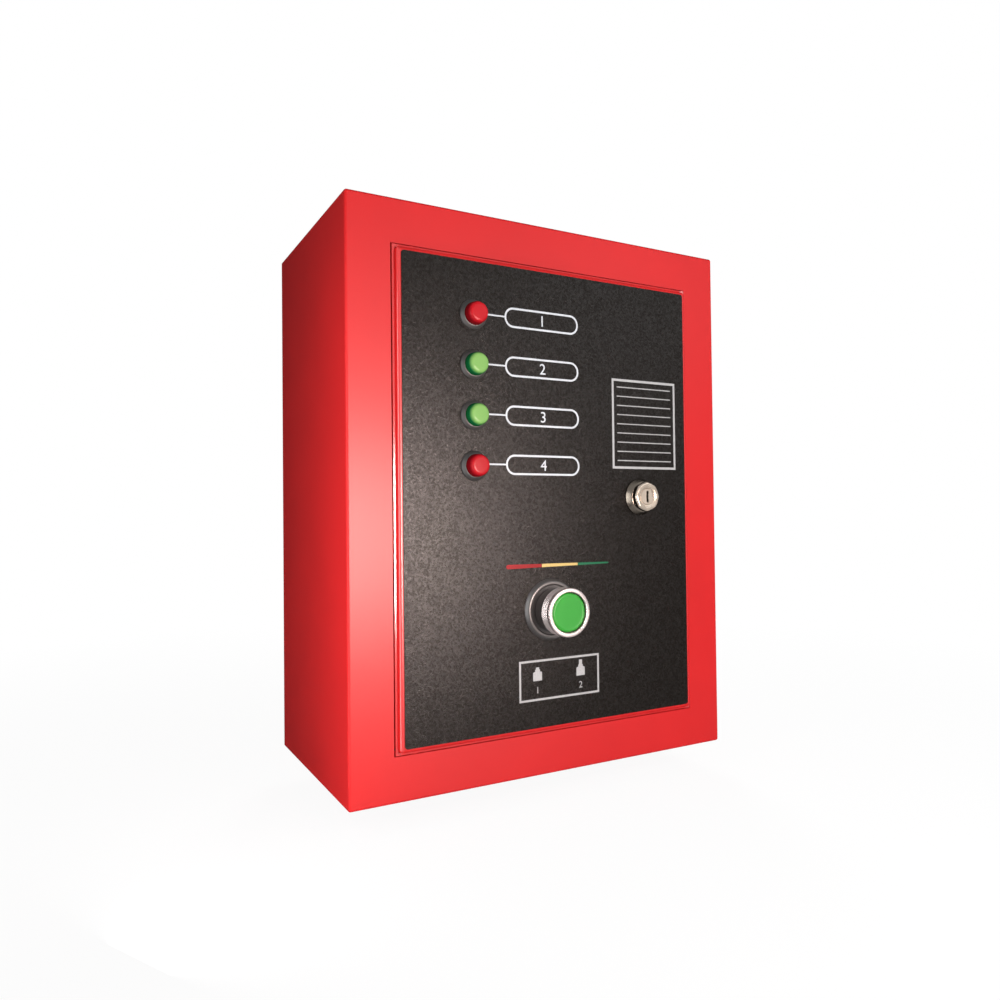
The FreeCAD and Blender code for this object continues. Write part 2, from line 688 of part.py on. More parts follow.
CONTACTOR_SIDES = [("mains", -1), ("generator", 1)]
BASE_FRONT = f"({RAIL_FRONT} - base_depth)"
DECK_FRONT = f"({BASE_FRONT} - deck_depth)"
NOSE_FRONT = f"({DECK_FRONT} - nose_depth)"
LUG_Y = f"({NOSE_FRONT} + lug_depth)"


def contactor_centre(side):
    return f"(contactor_x + {side} * (contactor_width + interlock_width) / 2)"


def around(centre, width):
    return (f"{centre} - ({width}) / 2", f"{centre} + ({width}) / 2")


def toward(side, near, far):
    """The pair in rising order, for a reach from near to far on one side."""
    return (near, far) if side > 0 else (far, near)


def lug_z(side):
    """The mains lug works the rocker's upper arm, and the generator lug its lower arm."""
    return f"(contactor_z - {side} * rocker_arm)"


def lug_window(side):
    """The slot that a lug travels in, as (y, z) pairs."""
    along = around(LUG_Y, "armature_travel + 2 * (lug_radius + armature_gap)")
    return rectangle(along, around(lug_z(side), "2 * (lug_radius + armature_gap)"))


def contactor_base(label, side):
    """The coil housing, with two clips that reach behind the rail's lips."""
    centre = contactor_centre(side)
    span = around(centre, "contactor_width")
    body = block(span, (BASE_FRONT, RAIL_FRONT), around("contactor_z", "contactor_height"))
    clips = []
    for level in (-1, 1):
        inner = f"contactor_z + {level} * (rail_height / 2 + fit_gap)"
        outer = f"{inner} + {level} * clip_thick"
        clips.append(block(span, (RAIL_FRONT, f"{RAIL_FRONT} + clip_reach"), toward(level, inner, outer)))
    node(fuse(body, *clips), label)


def pockets_of(side):
    """Terminal places of one contactor: three above the nose and three below."""
    centre = contactor_centre(side)
    up = "((contactor_height - pocket_height) / 2)"
    return [
        (f"{centre} + {column} * pocket_pitch", f"contactor_z + {level} * {up}", level)
        for level in (-1, 1) for column in (-1, 0, 1)
    ]


def contactor_housing(label, side):
    """The stepped cover: a terminal deck, and a nose with the armature's slot."""
    centre = contactor_centre(side)
    body = new_body(label)
    across = around(centre, "contactor_width")
    deck = rectangle(across, around("contactor_z", "contactor_height"))
    pad(body, "XZ_Plane", (DECK_FRONT, BASE_FRONT), deck)
    nose = rectangle(across, around("contactor_z", "nose_height"))
    pad(body, "XZ_Plane", (NOSE_FRONT, DECK_FRONT), nose)
    round_edges(body, "contactor_bevel", lambda edge: edge.BoundBox.YMax < body.Shape.BoundBox.YMin + 0.01)
    cells = []
    for x, z, level in pockets_of(side):
        up = toward(level, f"{z} - {level} * pocket_height / 2", f"{z} + {level} * pocket_height")
        cells.append(rectangle(around(x, "pocket_width"), up))
    pocket(body, "XZ_Plane", (f"{DECK_FRONT} - 1", f"{DECK_FRONT} + pocket_depth"), *cells)
    width = "armature_width + 2 * armature_gap"
    slot = rectangle(around(centre, width), around("contactor_z", "armature_height + 2 * armature_gap"))
    slot_end = f"{NOSE_FRONT} - armature_proud + armature_length + armature_travel + armature_gap"
    pocket(body, "XZ_Plane", (f"{NOSE_FRONT} - 1", slot_end), slot)
    wall = f"{centre} - {side} * contactor_width / 2"
    pocket(body, "YZ_Plane", toward(-side, centre, f"{wall} - {side}"), lug_window(side))


def armature(label, side):
    """The sliding contact carrier: a flag in the nose, and a lug that works the rocker."""
    centre = contactor_centre(side)
    pulled_in = f"(armature_travel * (1 - {side}) / 2)"
    front = f"({NOSE_FRONT} - armature_proud + {pulled_in})"
    across = around(centre, "armature_width")
    bar = block(across, (front, f"{front} + armature_length"), around("contactor_z", "armature_height"))
    tip = f"contactor_x + {side} * (side_play - rocker_thick / 2)"
    lug_place = (f"{LUG_Y} - {side} * armature_travel / 2", lug_z(side))
    lug = rod("x", lug_place, "lug_radius", toward(-side, f"{centre} - {side} * armature_width / 2", tip))
    node(fuse(bar, lug), label)


def contactor_screws():
    """A slotted clamp screw in each terminal pocket."""
    floor = f"({DECK_FRONT} + pocket_depth)"
    screws = []
    for label, side in CONTACTOR_SIDES:
        for x, z, level in pockets_of(side):
            head = rod("y", (x, z), "screw_head", (f"{floor} - screw_thick", floor))
            slot_y = (f"{floor} - screw_thick - 1", f"{floor} - screw_thick / 2")
            slot = block(around(x, "3 * screw_head"), slot_y, around(z, "screw_slot"))
            screws.append(cut(head, slot))
    group("contactor_screws", screws)


def interlock_housing():
    """A narrow module between the contactors, open in front, with the rocker's pin across it."""
    body = new_body("interlock_housing")
    across = around("contactor_x", "interlock_width")
    up = around("contactor_z", "interlock_height")
    pad(body, "XZ_Plane", (NOSE_FRONT, BASE_FRONT), rectangle(across, up))
    room = rectangle(
        around("contactor_x", "interlock_width - 2 * interlock_wall"),
        around("contactor_z", "interlock_height - 2 * interlock_wall"),
    )
    pocket(body, "XZ_Plane", (f"{NOSE_FRONT} - 1", f"{LUG_Y} + rocker_depth"), room)
    for label, side in CONTACTOR_SIDES:
        wall = f"contactor_x + {side} * interlock_width / 2"
        pocket(body, "YZ_Plane", toward(side, "contactor_x", f"{wall} + {side}"), lug_window(side))
    pad(body, "YZ_Plane", across, (LUG_Y, "contactor_z", "rocker_pin"))


def interlock_rocker():
    """A forked lever on the interlock's pin: as one armature goes in, it pushes the other out."""
    body = new_body("interlock_rocker")
    thick = ("-rocker_thick / 2", "rocker_thick / 2")
    end = "(rocker_arm + lug_radius + lug_play + 1)"
    pad(body, "YZ_Plane", thick, rectangle(("-rocker_depth / 2", "rocker_depth / 2"), (f"-{end}", end)))
    wide = ("-rocker_thick", "rocker_thick")
    pocket(body, "YZ_Plane", wide, ("0", "0", "rocker_pin + running_gap"))
    fork = ("-lug_radius - lug_play", "lug_radius + lug_play")
    for level in (-1, 1):
        root = f"{level} * (rocker_arm - lug_radius - lug_play)"
        pocket(body, "YZ_Plane", wide, rectangle(fork, toward(level, root, f"{level} * ({end} + 1)")))
    bind(body, ".Placement.Base.x", "contactor_x")
    bind(body, ".Placement.Base.y", LUG_Y)
    bind(body, ".Placement.Base.z", "contactor_z")
    tilt = math.degrees(math.atan(size("armature_travel") / 2 / size("rocker_arm")))
    body.Placement = Placement(body.Placement.Base, Rotation(Vector(1, 0, 0), -tilt))


def contactors():
    for name, side in CONTACTOR_SIDES:
        contactor_base(f"{name}_contactor_base", side)
        contactor_housing(f"{name}_contactor_housing", side)
        armature(f"{name}_armature", side)
    contactor_screws()
    interlock_housing()
    interlock_rocker()


# ---- Control board ----

BOARD_BACK = f"({PLATE_FRONT} - board_standoff)"
BOARD_FRONT = f"({BOARD_BACK} - board_thick)"


def on_board(depth):
    """From the board's face to so far in front of it."""
    return (f"{BOARD_FRONT} - {depth}", BOARD_FRONT)


def control_board():
    body = new_body("control_board")
    holes = [(x, z, "support_neck + fit_gap") for x, z in board_corners()]
    outline = centred("board_width", "board_height", BOARD_X, BOARD_Z)
    pad(body, "XZ_Plane", (BOARD_FRONT, BOARD_BACK), outline, *holes)


def board_supports():
    """Nylon supports: a spacer behind the board, a neck through it and a snap head in front."""
    supports = [
        fuse(
            rod("y", place, "support_radius", (BOARD_BACK, PLATE_FRONT)),
            rod("y", place, "support_neck", (BOARD_FRONT, BOARD_BACK)),
            rod("y", place, "support_head", on_board("support_head_thick")),
        )
        for place in board_corners()
    ]
    group("board_supports", supports)


def board_parts():
    """Relays in a row, the transformer, capacitors, chips and a fuse holder."""
    relays = [
        block(around(f"({BOARD_X} + {step} * relay_pitch)", "relay_width"), on_board("relay_depth"),
              around(f"({BOARD_Z} - relay_row)", "relay_height"))
        for step in (-1.5, -0.5, 0.5, 1.5)
    ]
    group("control_relays", relays)
    coil_x, coil_z = f"({BOARD_X} - board_width / 4)", f"({BOARD_Z} + board_height / 4)"
    middle = f"({BOARD_FRONT} - transformer_depth / 2)"
    core = block(around(coil_x, "transformer_width + 4"), around(middle, "transformer_core"),
                 around(coil_z, "transformer_height"))
    coil = block(around(coil_x, "transformer_width - 8"), on_board("transformer_depth"),
                 around(coil_z, "transformer_height - 6"))
    node(fuse(core, coil), "control_transformer")
    can_x = f"({BOARD_X} + board_width / 8)"
    can_y = on_board("capacitor_length")
    cans = [rod("y", (x, coil_z), "capacitor_radius", can_y) for x in (can_x, f"{can_x} + capacitor_pitch")]
    chips = [
        block(around(f"({BOARD_X} + {step} * board_width / 4)", "chip_width"), on_board("chip_depth"),
              around(BOARD_Z, "chip_height"))
        for step in (-1, 1)
    ]
    group("board_components", cans + chips)
    fuse_z = f"({BOARD_Z} + board_height / 2 - support_inset - fuse_side)"
    fuse_x = f"({BOARD_X} + board_width / 2 - support_inset - fuse_length)"
    holder = block((fuse_x, f"{fuse_x} + fuse_length"), on_board("fuse_side"), around(fuse_z, "fuse_side"))
    node(holder, "board_fuse_holder")


def board_screw_header():
    """The row of screw ways along the board's lower edge."""
    edge = f"({BOARD_Z} - board_height / 2 + header_inset)"
    up = (edge, f"{edge} + header_height")
    header = block(around(BOARD_X, "header_width"), on_board("header_depth"), up)
    pitch = "(header_width / header_ways)"
    first = f"({BOARD_X} - header_width / 2 + {pitch} / 2)"
    front = f"({BOARD_FRONT} - header_depth)"
    hole_y = (f"{front} - 1", f"{front} + header_screw_drop")
    holes = [
        rod("y", (f"{first} + {way} * {pitch}", f"{edge} + header_height / 2"), f"{pitch} / 3", hole_y)
        for way in range(int(size("header_ways")))
    ]
    node(cut(header, *holes), "board_screw_header")


# ---- Terminals ----

def terminal(place):
    """One rail terminal: stepped at both ends, with a screw hole and a cable entry on each shoulder."""
    low = f"(terminal_x - {TERMINAL_ROW} / 2 + {place} * terminal_pitch + terminal_gap / 2)"
    middle = f"({low} + (terminal_pitch - terminal_gap) / 2)"
    across = (low, f"{low} + terminal_pitch - terminal_gap")
    front = f"({RAIL_FRONT} - terminal_depth)"
    body = block(across, (front, RAIL_FRONT), around("terminal_z", "terminal_height"))
    tools = []
    for level in (-1, 1):
        end = f"(terminal_z + {level} * terminal_height / 2)"
        shoulder_y = (f"{front} - 1", f"{front} + terminal_shoulder")
        shoulder_z = toward(level, f"{end} - {level} * terminal_step", f"{end} + {level}")
        tools.append(block((f"{low} - 1", f"{across[1]} + 1"), shoulder_y, shoulder_z))
        hole_z = f"{end} - {level} * terminal_step / 2"
        hole_y = (f"{front} + terminal_shoulder - 0.5", f"{front} + terminal_shoulder + terminal_entry")
        tools.append(rod("y", (middle, hole_z), "terminal_entry", hole_y))
        entry_y = f"{front} + 2 * terminal_shoulder"
        tools.append(rod("z", (middle, entry_y), "terminal_entry", shoulder_z))
    return cut(body, *tools)


def terminals():
    for label in dict.fromkeys(TERMINAL_NODES):
        group(label, [terminal(place) for place, name in enumerate(TERMINAL_NODES) if name == label])
    front = f"({RAIL_FRONT} - end_stop_depth)"
    stops = []
    for side in (-1, 1):
        near = f"(terminal_x + {side} * ({TERMINAL_ROW} / 2 + fit_gap))"
        across = toward(side, near, f"{near} + {side} * end_stop_width")
        stops.append(block(across, (front, RAIL_FRONT), around("terminal_z", "end_stop_height")))
    group("terminal_end_stops", stops)


# ---- Cable glands and the earth stud ----

def gland(x, thread, bore, flats):
    """Body, locknut, cap and seal of one gland, in that order."""
    place = (x, "gland_y")
    flange = f"({FLOOR_UNDERSIDE} - gland_flange)"
    neck = f"({thread} - gland_neck_wall)"
    neck_end = f"({flange} - gland_neck)"
    barrel = rod("z", place, thread, (FLOOR_UNDERSIDE, f"{CASE_FLOOR} + gland_inside"))
    body = cut(
        fuse(
            barrel,
            hexagon("z", place, flats, (flange, FLOOR_UNDERSIDE)),
            rod("z", place, neck, (neck_end, flange)),
        ),
        rod("z", place, bore, (f"{neck_end} - 1", f"{CASE_FLOOR} + gland_inside + 1")),
    )
    nut_z = (CASE_FLOOR, f"{CASE_FLOOR} + gland_nut")
    locknut = nut("z", place, flats, f"{thread} + thread_gap", nut_z)
    cap_top = f"({flange} - side_play)"
    cap_end = f"({cap_top} - gland_cap)"
    cap_outer = f"({neck} + gland_cap_wall)"
    seal_outer = f"({neck} - gland_cap_wall)"
    cap = turned("Cap", "z", place, [
        (bore, cap_end), (seal_outer, cap_end), (cap_outer, f"{cap_end} + gland_cap / 2"),
        (cap_outer, cap_top), (f"{neck} + thread_gap", cap_top), (f"{neck} + thread_gap", neck_end),
        (seal_outer, f"{neck_end} - gland_seal"), (bore, f"{neck_end} - gland_seal"),
    ])
    seal = turned("Seal", "z", place, [
        (bore, neck_end), (neck, neck_end), (f"{seal_outer} - side_play", f"{neck_end} - gland_seal"),
        (bore, f"{neck_end} - gland_seal"),
    ])
    return body, locknut, cap, seal


def glands():
    pieces = [gland(*row) for row in GLANDS]
    for label, alike in zip(("gland_bodies", "gland_locknuts", "gland_caps", "gland_seals"), zip(*pieces)):
        group(label, alike)


EARTH = ("(case_width / 2 - earth_inset)", "gland_y")
WASHER_TOP = f"({CASE_FLOOR} + washer_thick)"


def earth_stud():
    """A stud on the floor, whose free end takes the earth wire's lug."""
    shoulder = f"({CASE_FLOOR} + earth_shoulder)"
    node(fuse(
        rod("z", EARTH, "stud_radius", (CASE_FLOOR, shoulder)),
        rod("z", EARTH, "earth_end_radius", (shoulder, f"{shoulder} + earth_end")),
    ), "earth_stud")


def stud_nuts():
    """The M6 nuts: one on each plate stud, and two on the earth stud, above a washer."""
    bore = "stud_radius + thread_gap"
    span = (f"{PLATE_FRONT} - stud_nut", PLATE_FRONT)
    pieces = [nut("y", place, "stud_flats", bore, span) for place in plate_studs()]
    hole = rod("z", EARTH, bore, (f"{CASE_FLOOR} - 1", f"{WASHER_TOP} + 1"))
    pieces.append(cut(rod("z", EARTH, "washer_radius", (CASE_FLOOR, WASHER_TOP)), hole))
    for step in (0, 1):
        low = f"{WASHER_TOP} + {step} * stud_nut"
        pieces.append(nut("z", EARTH, "stud_flats", bore, (low, f"{low} + stud_nut")))
    group("stud_nuts", pieces)


# ---- Door opening: seal and hinge pins ----

def door_seal():
    """A strip on the lip's front face, along its three sides."""
    body = new_body("door_seal")
    pad(body, "XZ_Plane", (f"{LIP_FRONT} - seal_thick", LIP_FRONT), three_sides())


def hinge_pins():
    """A pin with a shoulder, above and below the door."""
    outer = f"({OPENING_Z} + case_sheet + hinge_boss)"
    tip = f"({DOOR_Z} - door_sheet - hinge_pin_reach)"
    pins = []
    for level in (-1, 1):
        shank = toward(level, f"{level} * {tip}", f"{level} * {outer}")
        shoulder = toward(level, f"{level} * ({DOOR_Z} + fit_gap)", f"{level} * {OPENING_Z}")
        place = (HINGE_X, HINGE_Y)
        pins.append(fuse(rod("z", place, "hinge_pin", shank), rod("z", place, "hinge_shoulder", shoulder)))
    group("hinge_pins", pins)


# ---- Door ----

LAMPS = range(4)


def lamp_place(row):
    return ("lamp_column", f"(lamp_top - {row} * lamp_pitch)")


def front_holes():
    """The holes that the door sheet and the printed sheet share."""
    holes = [(*lamp_place(row), "lamp_barrel + fit_gap") for row in LAMPS]
    holes.append(("button_x", "button_z", "barrel_radius + fit_gap"))
    holes.append((LOCK_X, "lock_z", "lock_barrel + fit_gap"))
    return holes


def door_pan():
    """The door sheet with its edges turned back, bored for the hinge pins."""
    body = new_body("door_pan")
    pad(body, "XZ_Plane", (DOOR_FACE, RIM_BACK), centred(f"2 * {DOOR_X}", f"2 * {DOOR_Z}"))
    back = size("door_rim") - size("door_proud") - size("case_depth")
    round_edges(body, "door_bend", lambda edge: edge.BoundBox.YMin < back - size("door_sheet"))
    inside = centred(f"2 * ({DOOR_X} - door_sheet)", f"2 * ({DOOR_Z} - door_sheet)")
    pocket(body, "XZ_Plane", (DOOR_BACK, f"{RIM_BACK} + 1"), inside)
    pocket(body, "XZ_Plane", (f"{DOOR_FACE} - 1", f"{DOOR_BACK} + 1"), *front_holes())
    bore = (HINGE_X, HINGE_Y, "hinge_pin + running_gap")
    for level in (-1, 1):
        edge = f"{level} * {DOOR_Z}"
        through = toward(level, f"{edge} - {level} * 2 * door_sheet", f"{edge} + {level}")
        pocket(body, "XY_Plane", through, bore)


def front_overlay():
    body = new_body("front_overlay")
    across, up = f"2 * ({DOOR_X} - overlay_side)", f"2 * ({DOOR_Z} - overlay_end)"
    pad(body, "XZ_Plane", (SHEET_FACE, DOOR_FACE), centred(across, up))
    round_edges(body, "overlay_corner", lambda edge: edge.BoundBox.DiagonalLength < 2 * size("overlay_thick"))
    pocket(body, "XZ_Plane", (f"{SHEET_FACE} - 1", f"{DOOR_FACE} + 1"), *front_holes())


def lamp_body(place):
    """A ring in front of the door and a barrel through it in one moulding, with two tags behind."""
    floor = in_front("lamp_ring_floor")
    well = "(lens_radius + thread_gap)"
    end = f"({DOOR_BACK} + lamp_length)"
    moulding = turned("Moulding", "y", place, [
        ("0", end), ("lamp_barrel", end), ("lamp_barrel", SHEET_FACE), ("lamp_ring", SHEET_FACE),
        ("lamp_ring", in_front("lamp_ring_height / 2")),
        (f"(lamp_ring + {well}) / 2", in_front("lamp_ring_height")),
        (well, in_front("lamp_ring_height")), (well, floor), ("0", floor),
    ])
    tags = [
        block(
            around(f"({place[0]} + {side} * lamp_tag_spread / 2)", "lamp_tag_thick"),
            (end, f"{end} + lamp_tag_length"), around(place[1], "lamp_tag_width"),
        )
        for side in (-1, 1)
    ]
    return fuse(moulding, *tags)


def lamp_lens(label, place):
    """A hollow cap with a sloped edge and a flat face."""
    floor = in_front("lamp_ring_floor")
    inner = "(lens_face - lens_wall)"
    ceiling = in_front("lens_height - lens_wall")
    node(turned("Lens", "y", place, [
        ("lens_radius", floor), ("lens_radius", in_front("lens_height - lens_slope")),
        ("lens_face", in_front("lens_height")), ("0", in_front("lens_height")),
        ("0", ceiling), (inner, ceiling), (inner, floor),
    ]), label)


def lamps():
    places = [lamp_place(row) for row in LAMPS]
    for row, place in enumerate(places, start=1):
        lamp_lens(f"lamp_lens_{row}", place)
    group("lamp_bodies", [lamp_body(place) for place in places])
    nut_y = (DOOR_BACK, f"{DOOR_BACK} + lamp_nut")
    group("lamp_nuts", [nut("y", place, "lamp_flats", "lamp_barrel + thread_gap", nut_y) for place in places])


# ---- Push button ----

BUTTON = ("button_x", "button_z")
BEZEL_BACK = in_front("rim_height - bezel_height")
LIP_INNER = in_front("rim_height - bezel_lip")
CAP_FACE = in_front("rim_height - cap_recess")
CAP_BACK = f"({CAP_FACE} + cap_thick)"
WELL_FLOOR = in_front("collar_height")
BARREL_END = f"({DOOR_BACK} + barrel_length)"
STEM_RADIUS = "(barrel_radius - barrel_wall - cap_gap)"
GUIDE_RADIUS = "(cap_radius + cap_gap)"


def button_collar():
    node(turned("Collar", "y", BUTTON, [
        ("barrel_radius + fit_gap", SHEET_FACE), ("collar_radius", SHEET_FACE),
        ("collar_radius", in_front("collar_height - collar_bevel")),
        ("collar_radius - collar_bevel", in_front("collar_height")),
        ("barrel_radius + fit_gap", in_front("collar_height")),
    ]), "button_collar")


def button_barrel():
    """The black head and its threaded barrel, bored for the cap's stem."""
    bore = "(barrel_radius - barrel_wall)"
    shoulder = f"({WELL_FLOOR} - barrel_wall)"
    node(turned("Barrel", "y", BUTTON, [
        (bore, BARREL_END), ("barrel_radius", BARREL_END), ("barrel_radius", WELL_FLOOR),
        ("neck_radius", WELL_FLOOR), ("neck_radius", LIP_INNER), (GUIDE_RADIUS, LIP_INNER),
        (GUIDE_RADIUS, shoulder), (bore, shoulder),
    ]), "button_barrel")


def button_bezel():
    """A chrome sleeve on the head, with a lip that closes in on the cap."""
    inner = "(neck_radius + thread_gap)"
    rim = in_front("rim_height")
    node(turned("Bezel", "y", BUTTON, [
        (inner, BEZEL_BACK), ("bezel_radius", BEZEL_BACK),
        ("bezel_radius", in_front("rim_height - bezel_bevel")), ("bezel_radius - bezel_bevel", rim),
        (GUIDE_RADIUS, rim), (GUIDE_RADIUS, LIP_INNER), (inner, LIP_INNER),
    ]), "button_bezel")


def button_cap():
    node(turned("Cap", "y", BUTTON, [
        ("0", CAP_BACK), ("cap_radius", CAP_BACK), ("cap_radius", f"{CAP_FACE} + cap_bevel"),
        ("cap_radius - cap_bevel", CAP_FACE), ("0", CAP_FACE),
    ]), "button_cap")
    node(rod("y", BUTTON, STEM_RADIUS, (CAP_BACK, f"{BARREL_END} - side_play")), "button_stem")


def button_spring():
    """A helix round the stem, between the head's shoulder and the cap, bent in short straight runs."""
    wire, runs = size("spring_wire"), int(size("spring_runs"))
    face = -(size("case_depth") + size("door_proud") + size("overlay_thick"))
    cap_back = face - size("rim_height") + size("cap_recess") + size("cap_thick")
    floor = face - size("collar_height") - size("barrel_wall")
    radius = (size("barrel_radius") - size("barrel_wall") - size("cap_gap") + size("cap_radius")) / 2
    clear = 2 * size("running_gap")
    length = floor - cap_back - 2 * (wire + clear)
    count = int(size("spring_turns")) * runs
    turn = math.tau / runs
    corners = [
        Vector(radius * math.cos(turn * i), radius * math.sin(turn * i), length * i / count)
        for i in range(count + 1)
    ]
    section = Part.Wire(Part.makeCircle(wire, corners[0], corners[1] - corners[0]))
    mitred = 1
    spring = DOC.addObject("Part::Feature", "Spring")
    spring.Shape = Part.makePolygon(corners).makePipeShell([section], True, False, mitred)
    base = Vector(size("button_x"), cap_back + wire + clear, size("button_z"))
    spring.Placement = Placement(base, Rotation(Vector(1, 0, 0), -90))
    node(spring, "button_spring")


def button_contacts():
    """The locknut, the carrier on the barrel's end, and two contact blocks on it."""
    nut_y = (DOOR_BACK, f"{DOOR_BACK} + button_nut")
    node(nut("y", BUTTON, "button_flats", "barrel_radius + thread_gap", nut_y), "button_locknut")
    carrier_y = (f"{BARREL_END} - carrier_grip", f"({BARREL_END} + button_travel)")
    plate = block(around("button_x", "carrier_width"), carrier_y, around("button_z", "carrier_height"))
    grip = rod("y", BUTTON, "barrel_radius + thread_gap", (f"{carrier_y[0]} - 1", BARREL_END))
    room = rod("y", BUTTON, f"{STEM_RADIUS} + cap_gap", (f"{BARREL_END} - 1", f"{carrier_y[1]} + 1"))
    node(cut(plate, grip, room), "contact_carrier")
    contact_y = (carrier_y[1], f"{carrier_y[1]} + contact_length")
    up = around("button_z", "contact_height")
    columns = [f"(button_x + {side} * contact_spread)" for side in (-1, 1)]
    group("contact_blocks", [block(around(x, "contact_width"), contact_y, up) for x in columns])


# ---- Cam lock ----

LOCK = (LOCK_X, "lock_z")
CAM_FRONT = f"({LIP_BACK} + side_play)"
LOCK_FACE = in_front("lock_height")


def lock_housing():
    bore = "(plug_radius + running_gap)"
    end = f"({CAM_FRONT} - side_play)"
    node(turned("Housing", "y", LOCK, [
        (bore, end), ("lock_barrel", end), ("lock_barrel", SHEET_FACE), ("lock_head", SHEET_FACE),
        ("lock_head", in_front("lock_skirt")), ("lock_face", LOCK_FACE), (bore, LOCK_FACE),
    ]), "lock_housing")
    nut_y = (DOOR_BACK, f"{DOOR_BACK} + lock_nut")
    node(nut("y", LOCK, "lock_flats", "lock_barrel + thread_gap", nut_y), "lock_nut")


def lock_plug():
    """The turning plug with its keyway, and the stud that carries the cam."""
    face = f"({LOCK_FACE} + plug_recess)"
    cam_back = f"({CAM_FRONT} + cam_thick)"
    whole = fuse(
        rod("y", LOCK, "plug_radius", (face, CAM_FRONT)),
        rod("y", LOCK, "stud_radius", (face, f"{cam_back} + cam_nut + stud_end")),
    )
    slot = block(
        around(LOCK_X, "key_slot_width"), (f"{face} - 1", f"{face} + key_slot_depth"),
        around("lock_z", "key_slot_height"),
    )
    node(cut(whole, slot), "lock_plug")
    nut_y = (cam_back, f"{cam_back} + cam_nut")
    node(nut("y", LOCK, "cam_flats", "stud_radius + thread_gap", nut_y), "lock_cam_nut")


def lock_cam():
    """A bar that hangs down when unlocked, and turns behind the lip to lock."""
    body = new_body("lock_cam")
    reach = f"({OPENING_X} - lip_width + cam_overlap - {LOCK_X})"
    across = around(LOCK_X, "2 * cam_half_width")
    span = (CAM_FRONT, f"{CAM_FRONT} + cam_thick")
    pad(body, "XZ_Plane", span, rectangle(across, (f"lock_z - {reach}", "lock_z + cam_half_width")))
    round_edges(body, "cam_half_width * 0.45", along_y)
    hole = (*LOCK, "stud_radius + thread_gap")
    pocket(body, "XZ_Plane", (f"{CAM_FRONT} - 1", f"{CAM_FRONT} + cam_thick + 1"), hole)


# ---- The whole object ----

def check_document():
    """Stops on any object that failed to build, and on any sub-part that is not whole."""
    for item in DOC.Objects:
        if any(word in state for state in item.State for word in ("Invalid", "Error")):
            raise RuntimeError(f"{item.Name} ({item.Label}) failed: {item.State}")
    for part in NODES:
        if part.Shape.isNull() or not part.Shape.isValid() or not part.Shape.Solids:
            raise RuntimeError(f"{part.Label} has no valid solid")


def export():
    os.makedirs("parts", exist_ok=True)
    for part in NODES:
        part.Shape.exportStep(f"parts/{part.Label}.step")


fill_sheet()
enclosure_shell()
door_frame()
case_floor()
back_panel()
mounting_plate()
plate_standoffs()
rails()
contactors()
control_board()
board_supports()
board_parts()
board_screw_header()
terminals()
glands()
earth_stud()
stud_nuts()
door_seal()
hinge_pins()
door_pan()
front_overlay()
lamps()
button_collar()
button_barrel()
button_bezel()
button_cap()
button_spring()
button_contacts()
lock_housing()
lock_plug()
lock_cam()
DOC.recompute()
check_document()
export()
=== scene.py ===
"""Transfer switch box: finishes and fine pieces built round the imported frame.

Every length is in metres, in the frame's own axes: +Z up, the front faces -Y.
"""

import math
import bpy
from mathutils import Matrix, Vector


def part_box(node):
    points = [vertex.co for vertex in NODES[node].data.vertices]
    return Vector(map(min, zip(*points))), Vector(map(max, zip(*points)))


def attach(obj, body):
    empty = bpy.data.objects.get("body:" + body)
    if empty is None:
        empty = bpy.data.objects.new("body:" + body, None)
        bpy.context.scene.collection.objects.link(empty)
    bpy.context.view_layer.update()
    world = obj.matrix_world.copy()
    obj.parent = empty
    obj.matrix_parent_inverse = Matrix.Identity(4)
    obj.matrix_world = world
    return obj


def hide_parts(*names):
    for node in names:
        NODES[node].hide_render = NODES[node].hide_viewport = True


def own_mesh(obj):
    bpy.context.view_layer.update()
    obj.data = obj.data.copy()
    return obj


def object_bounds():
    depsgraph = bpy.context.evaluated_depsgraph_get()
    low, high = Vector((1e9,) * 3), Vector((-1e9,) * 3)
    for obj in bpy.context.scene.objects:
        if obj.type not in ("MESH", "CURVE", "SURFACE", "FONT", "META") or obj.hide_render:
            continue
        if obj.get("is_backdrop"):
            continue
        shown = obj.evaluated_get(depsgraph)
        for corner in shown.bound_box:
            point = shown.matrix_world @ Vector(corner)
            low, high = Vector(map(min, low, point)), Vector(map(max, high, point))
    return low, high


bl_info = {
    "name": "Transfer Switch Box",
    "version": (1, 0, 0),
    "blender": (4, 5, 0),
    "location": "View3D > Sidebar > Transfer Switch",
    "description": "Finishes and fine pieces of a wall-mounted transfer switch box",
    "category": "Object",
}

import bmesh
import bpy
import numpy as np
from bpy.props import FloatProperty, FloatVectorProperty, IntProperty, PointerProperty
from mathutils import Matrix, Vector

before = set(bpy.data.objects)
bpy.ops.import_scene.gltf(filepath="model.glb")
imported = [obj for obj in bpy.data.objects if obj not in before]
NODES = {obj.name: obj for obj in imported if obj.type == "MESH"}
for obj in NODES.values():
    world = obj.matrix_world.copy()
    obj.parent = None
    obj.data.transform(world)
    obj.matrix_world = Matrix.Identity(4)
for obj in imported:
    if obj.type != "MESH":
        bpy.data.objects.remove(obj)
MM = 0.001


# ---- Places taken from the frame ----

def low(node):
    return np.array(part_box(node)[0])


def high(node):
    return np.array(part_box(node)[1])


def middle(node):
    """The x and z of the node's middle."""
    return ((low(node) + high(node)) / 2)[[0, 2]]


def round_node(node):
    """Half the node's width, its front and its back: the radius and ends of a round one."""
    (left, front, _), (right, back, _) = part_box(node)
    return (right - left) / 2, front, back


SHEET_FACE = low("front_overlay")[1]
BORDER_FACE = low("enclosure_shell")[1]
LENSES = [f"lamp_lens_{row}" for row in range(1, 5)]


# ---- Shapes ----

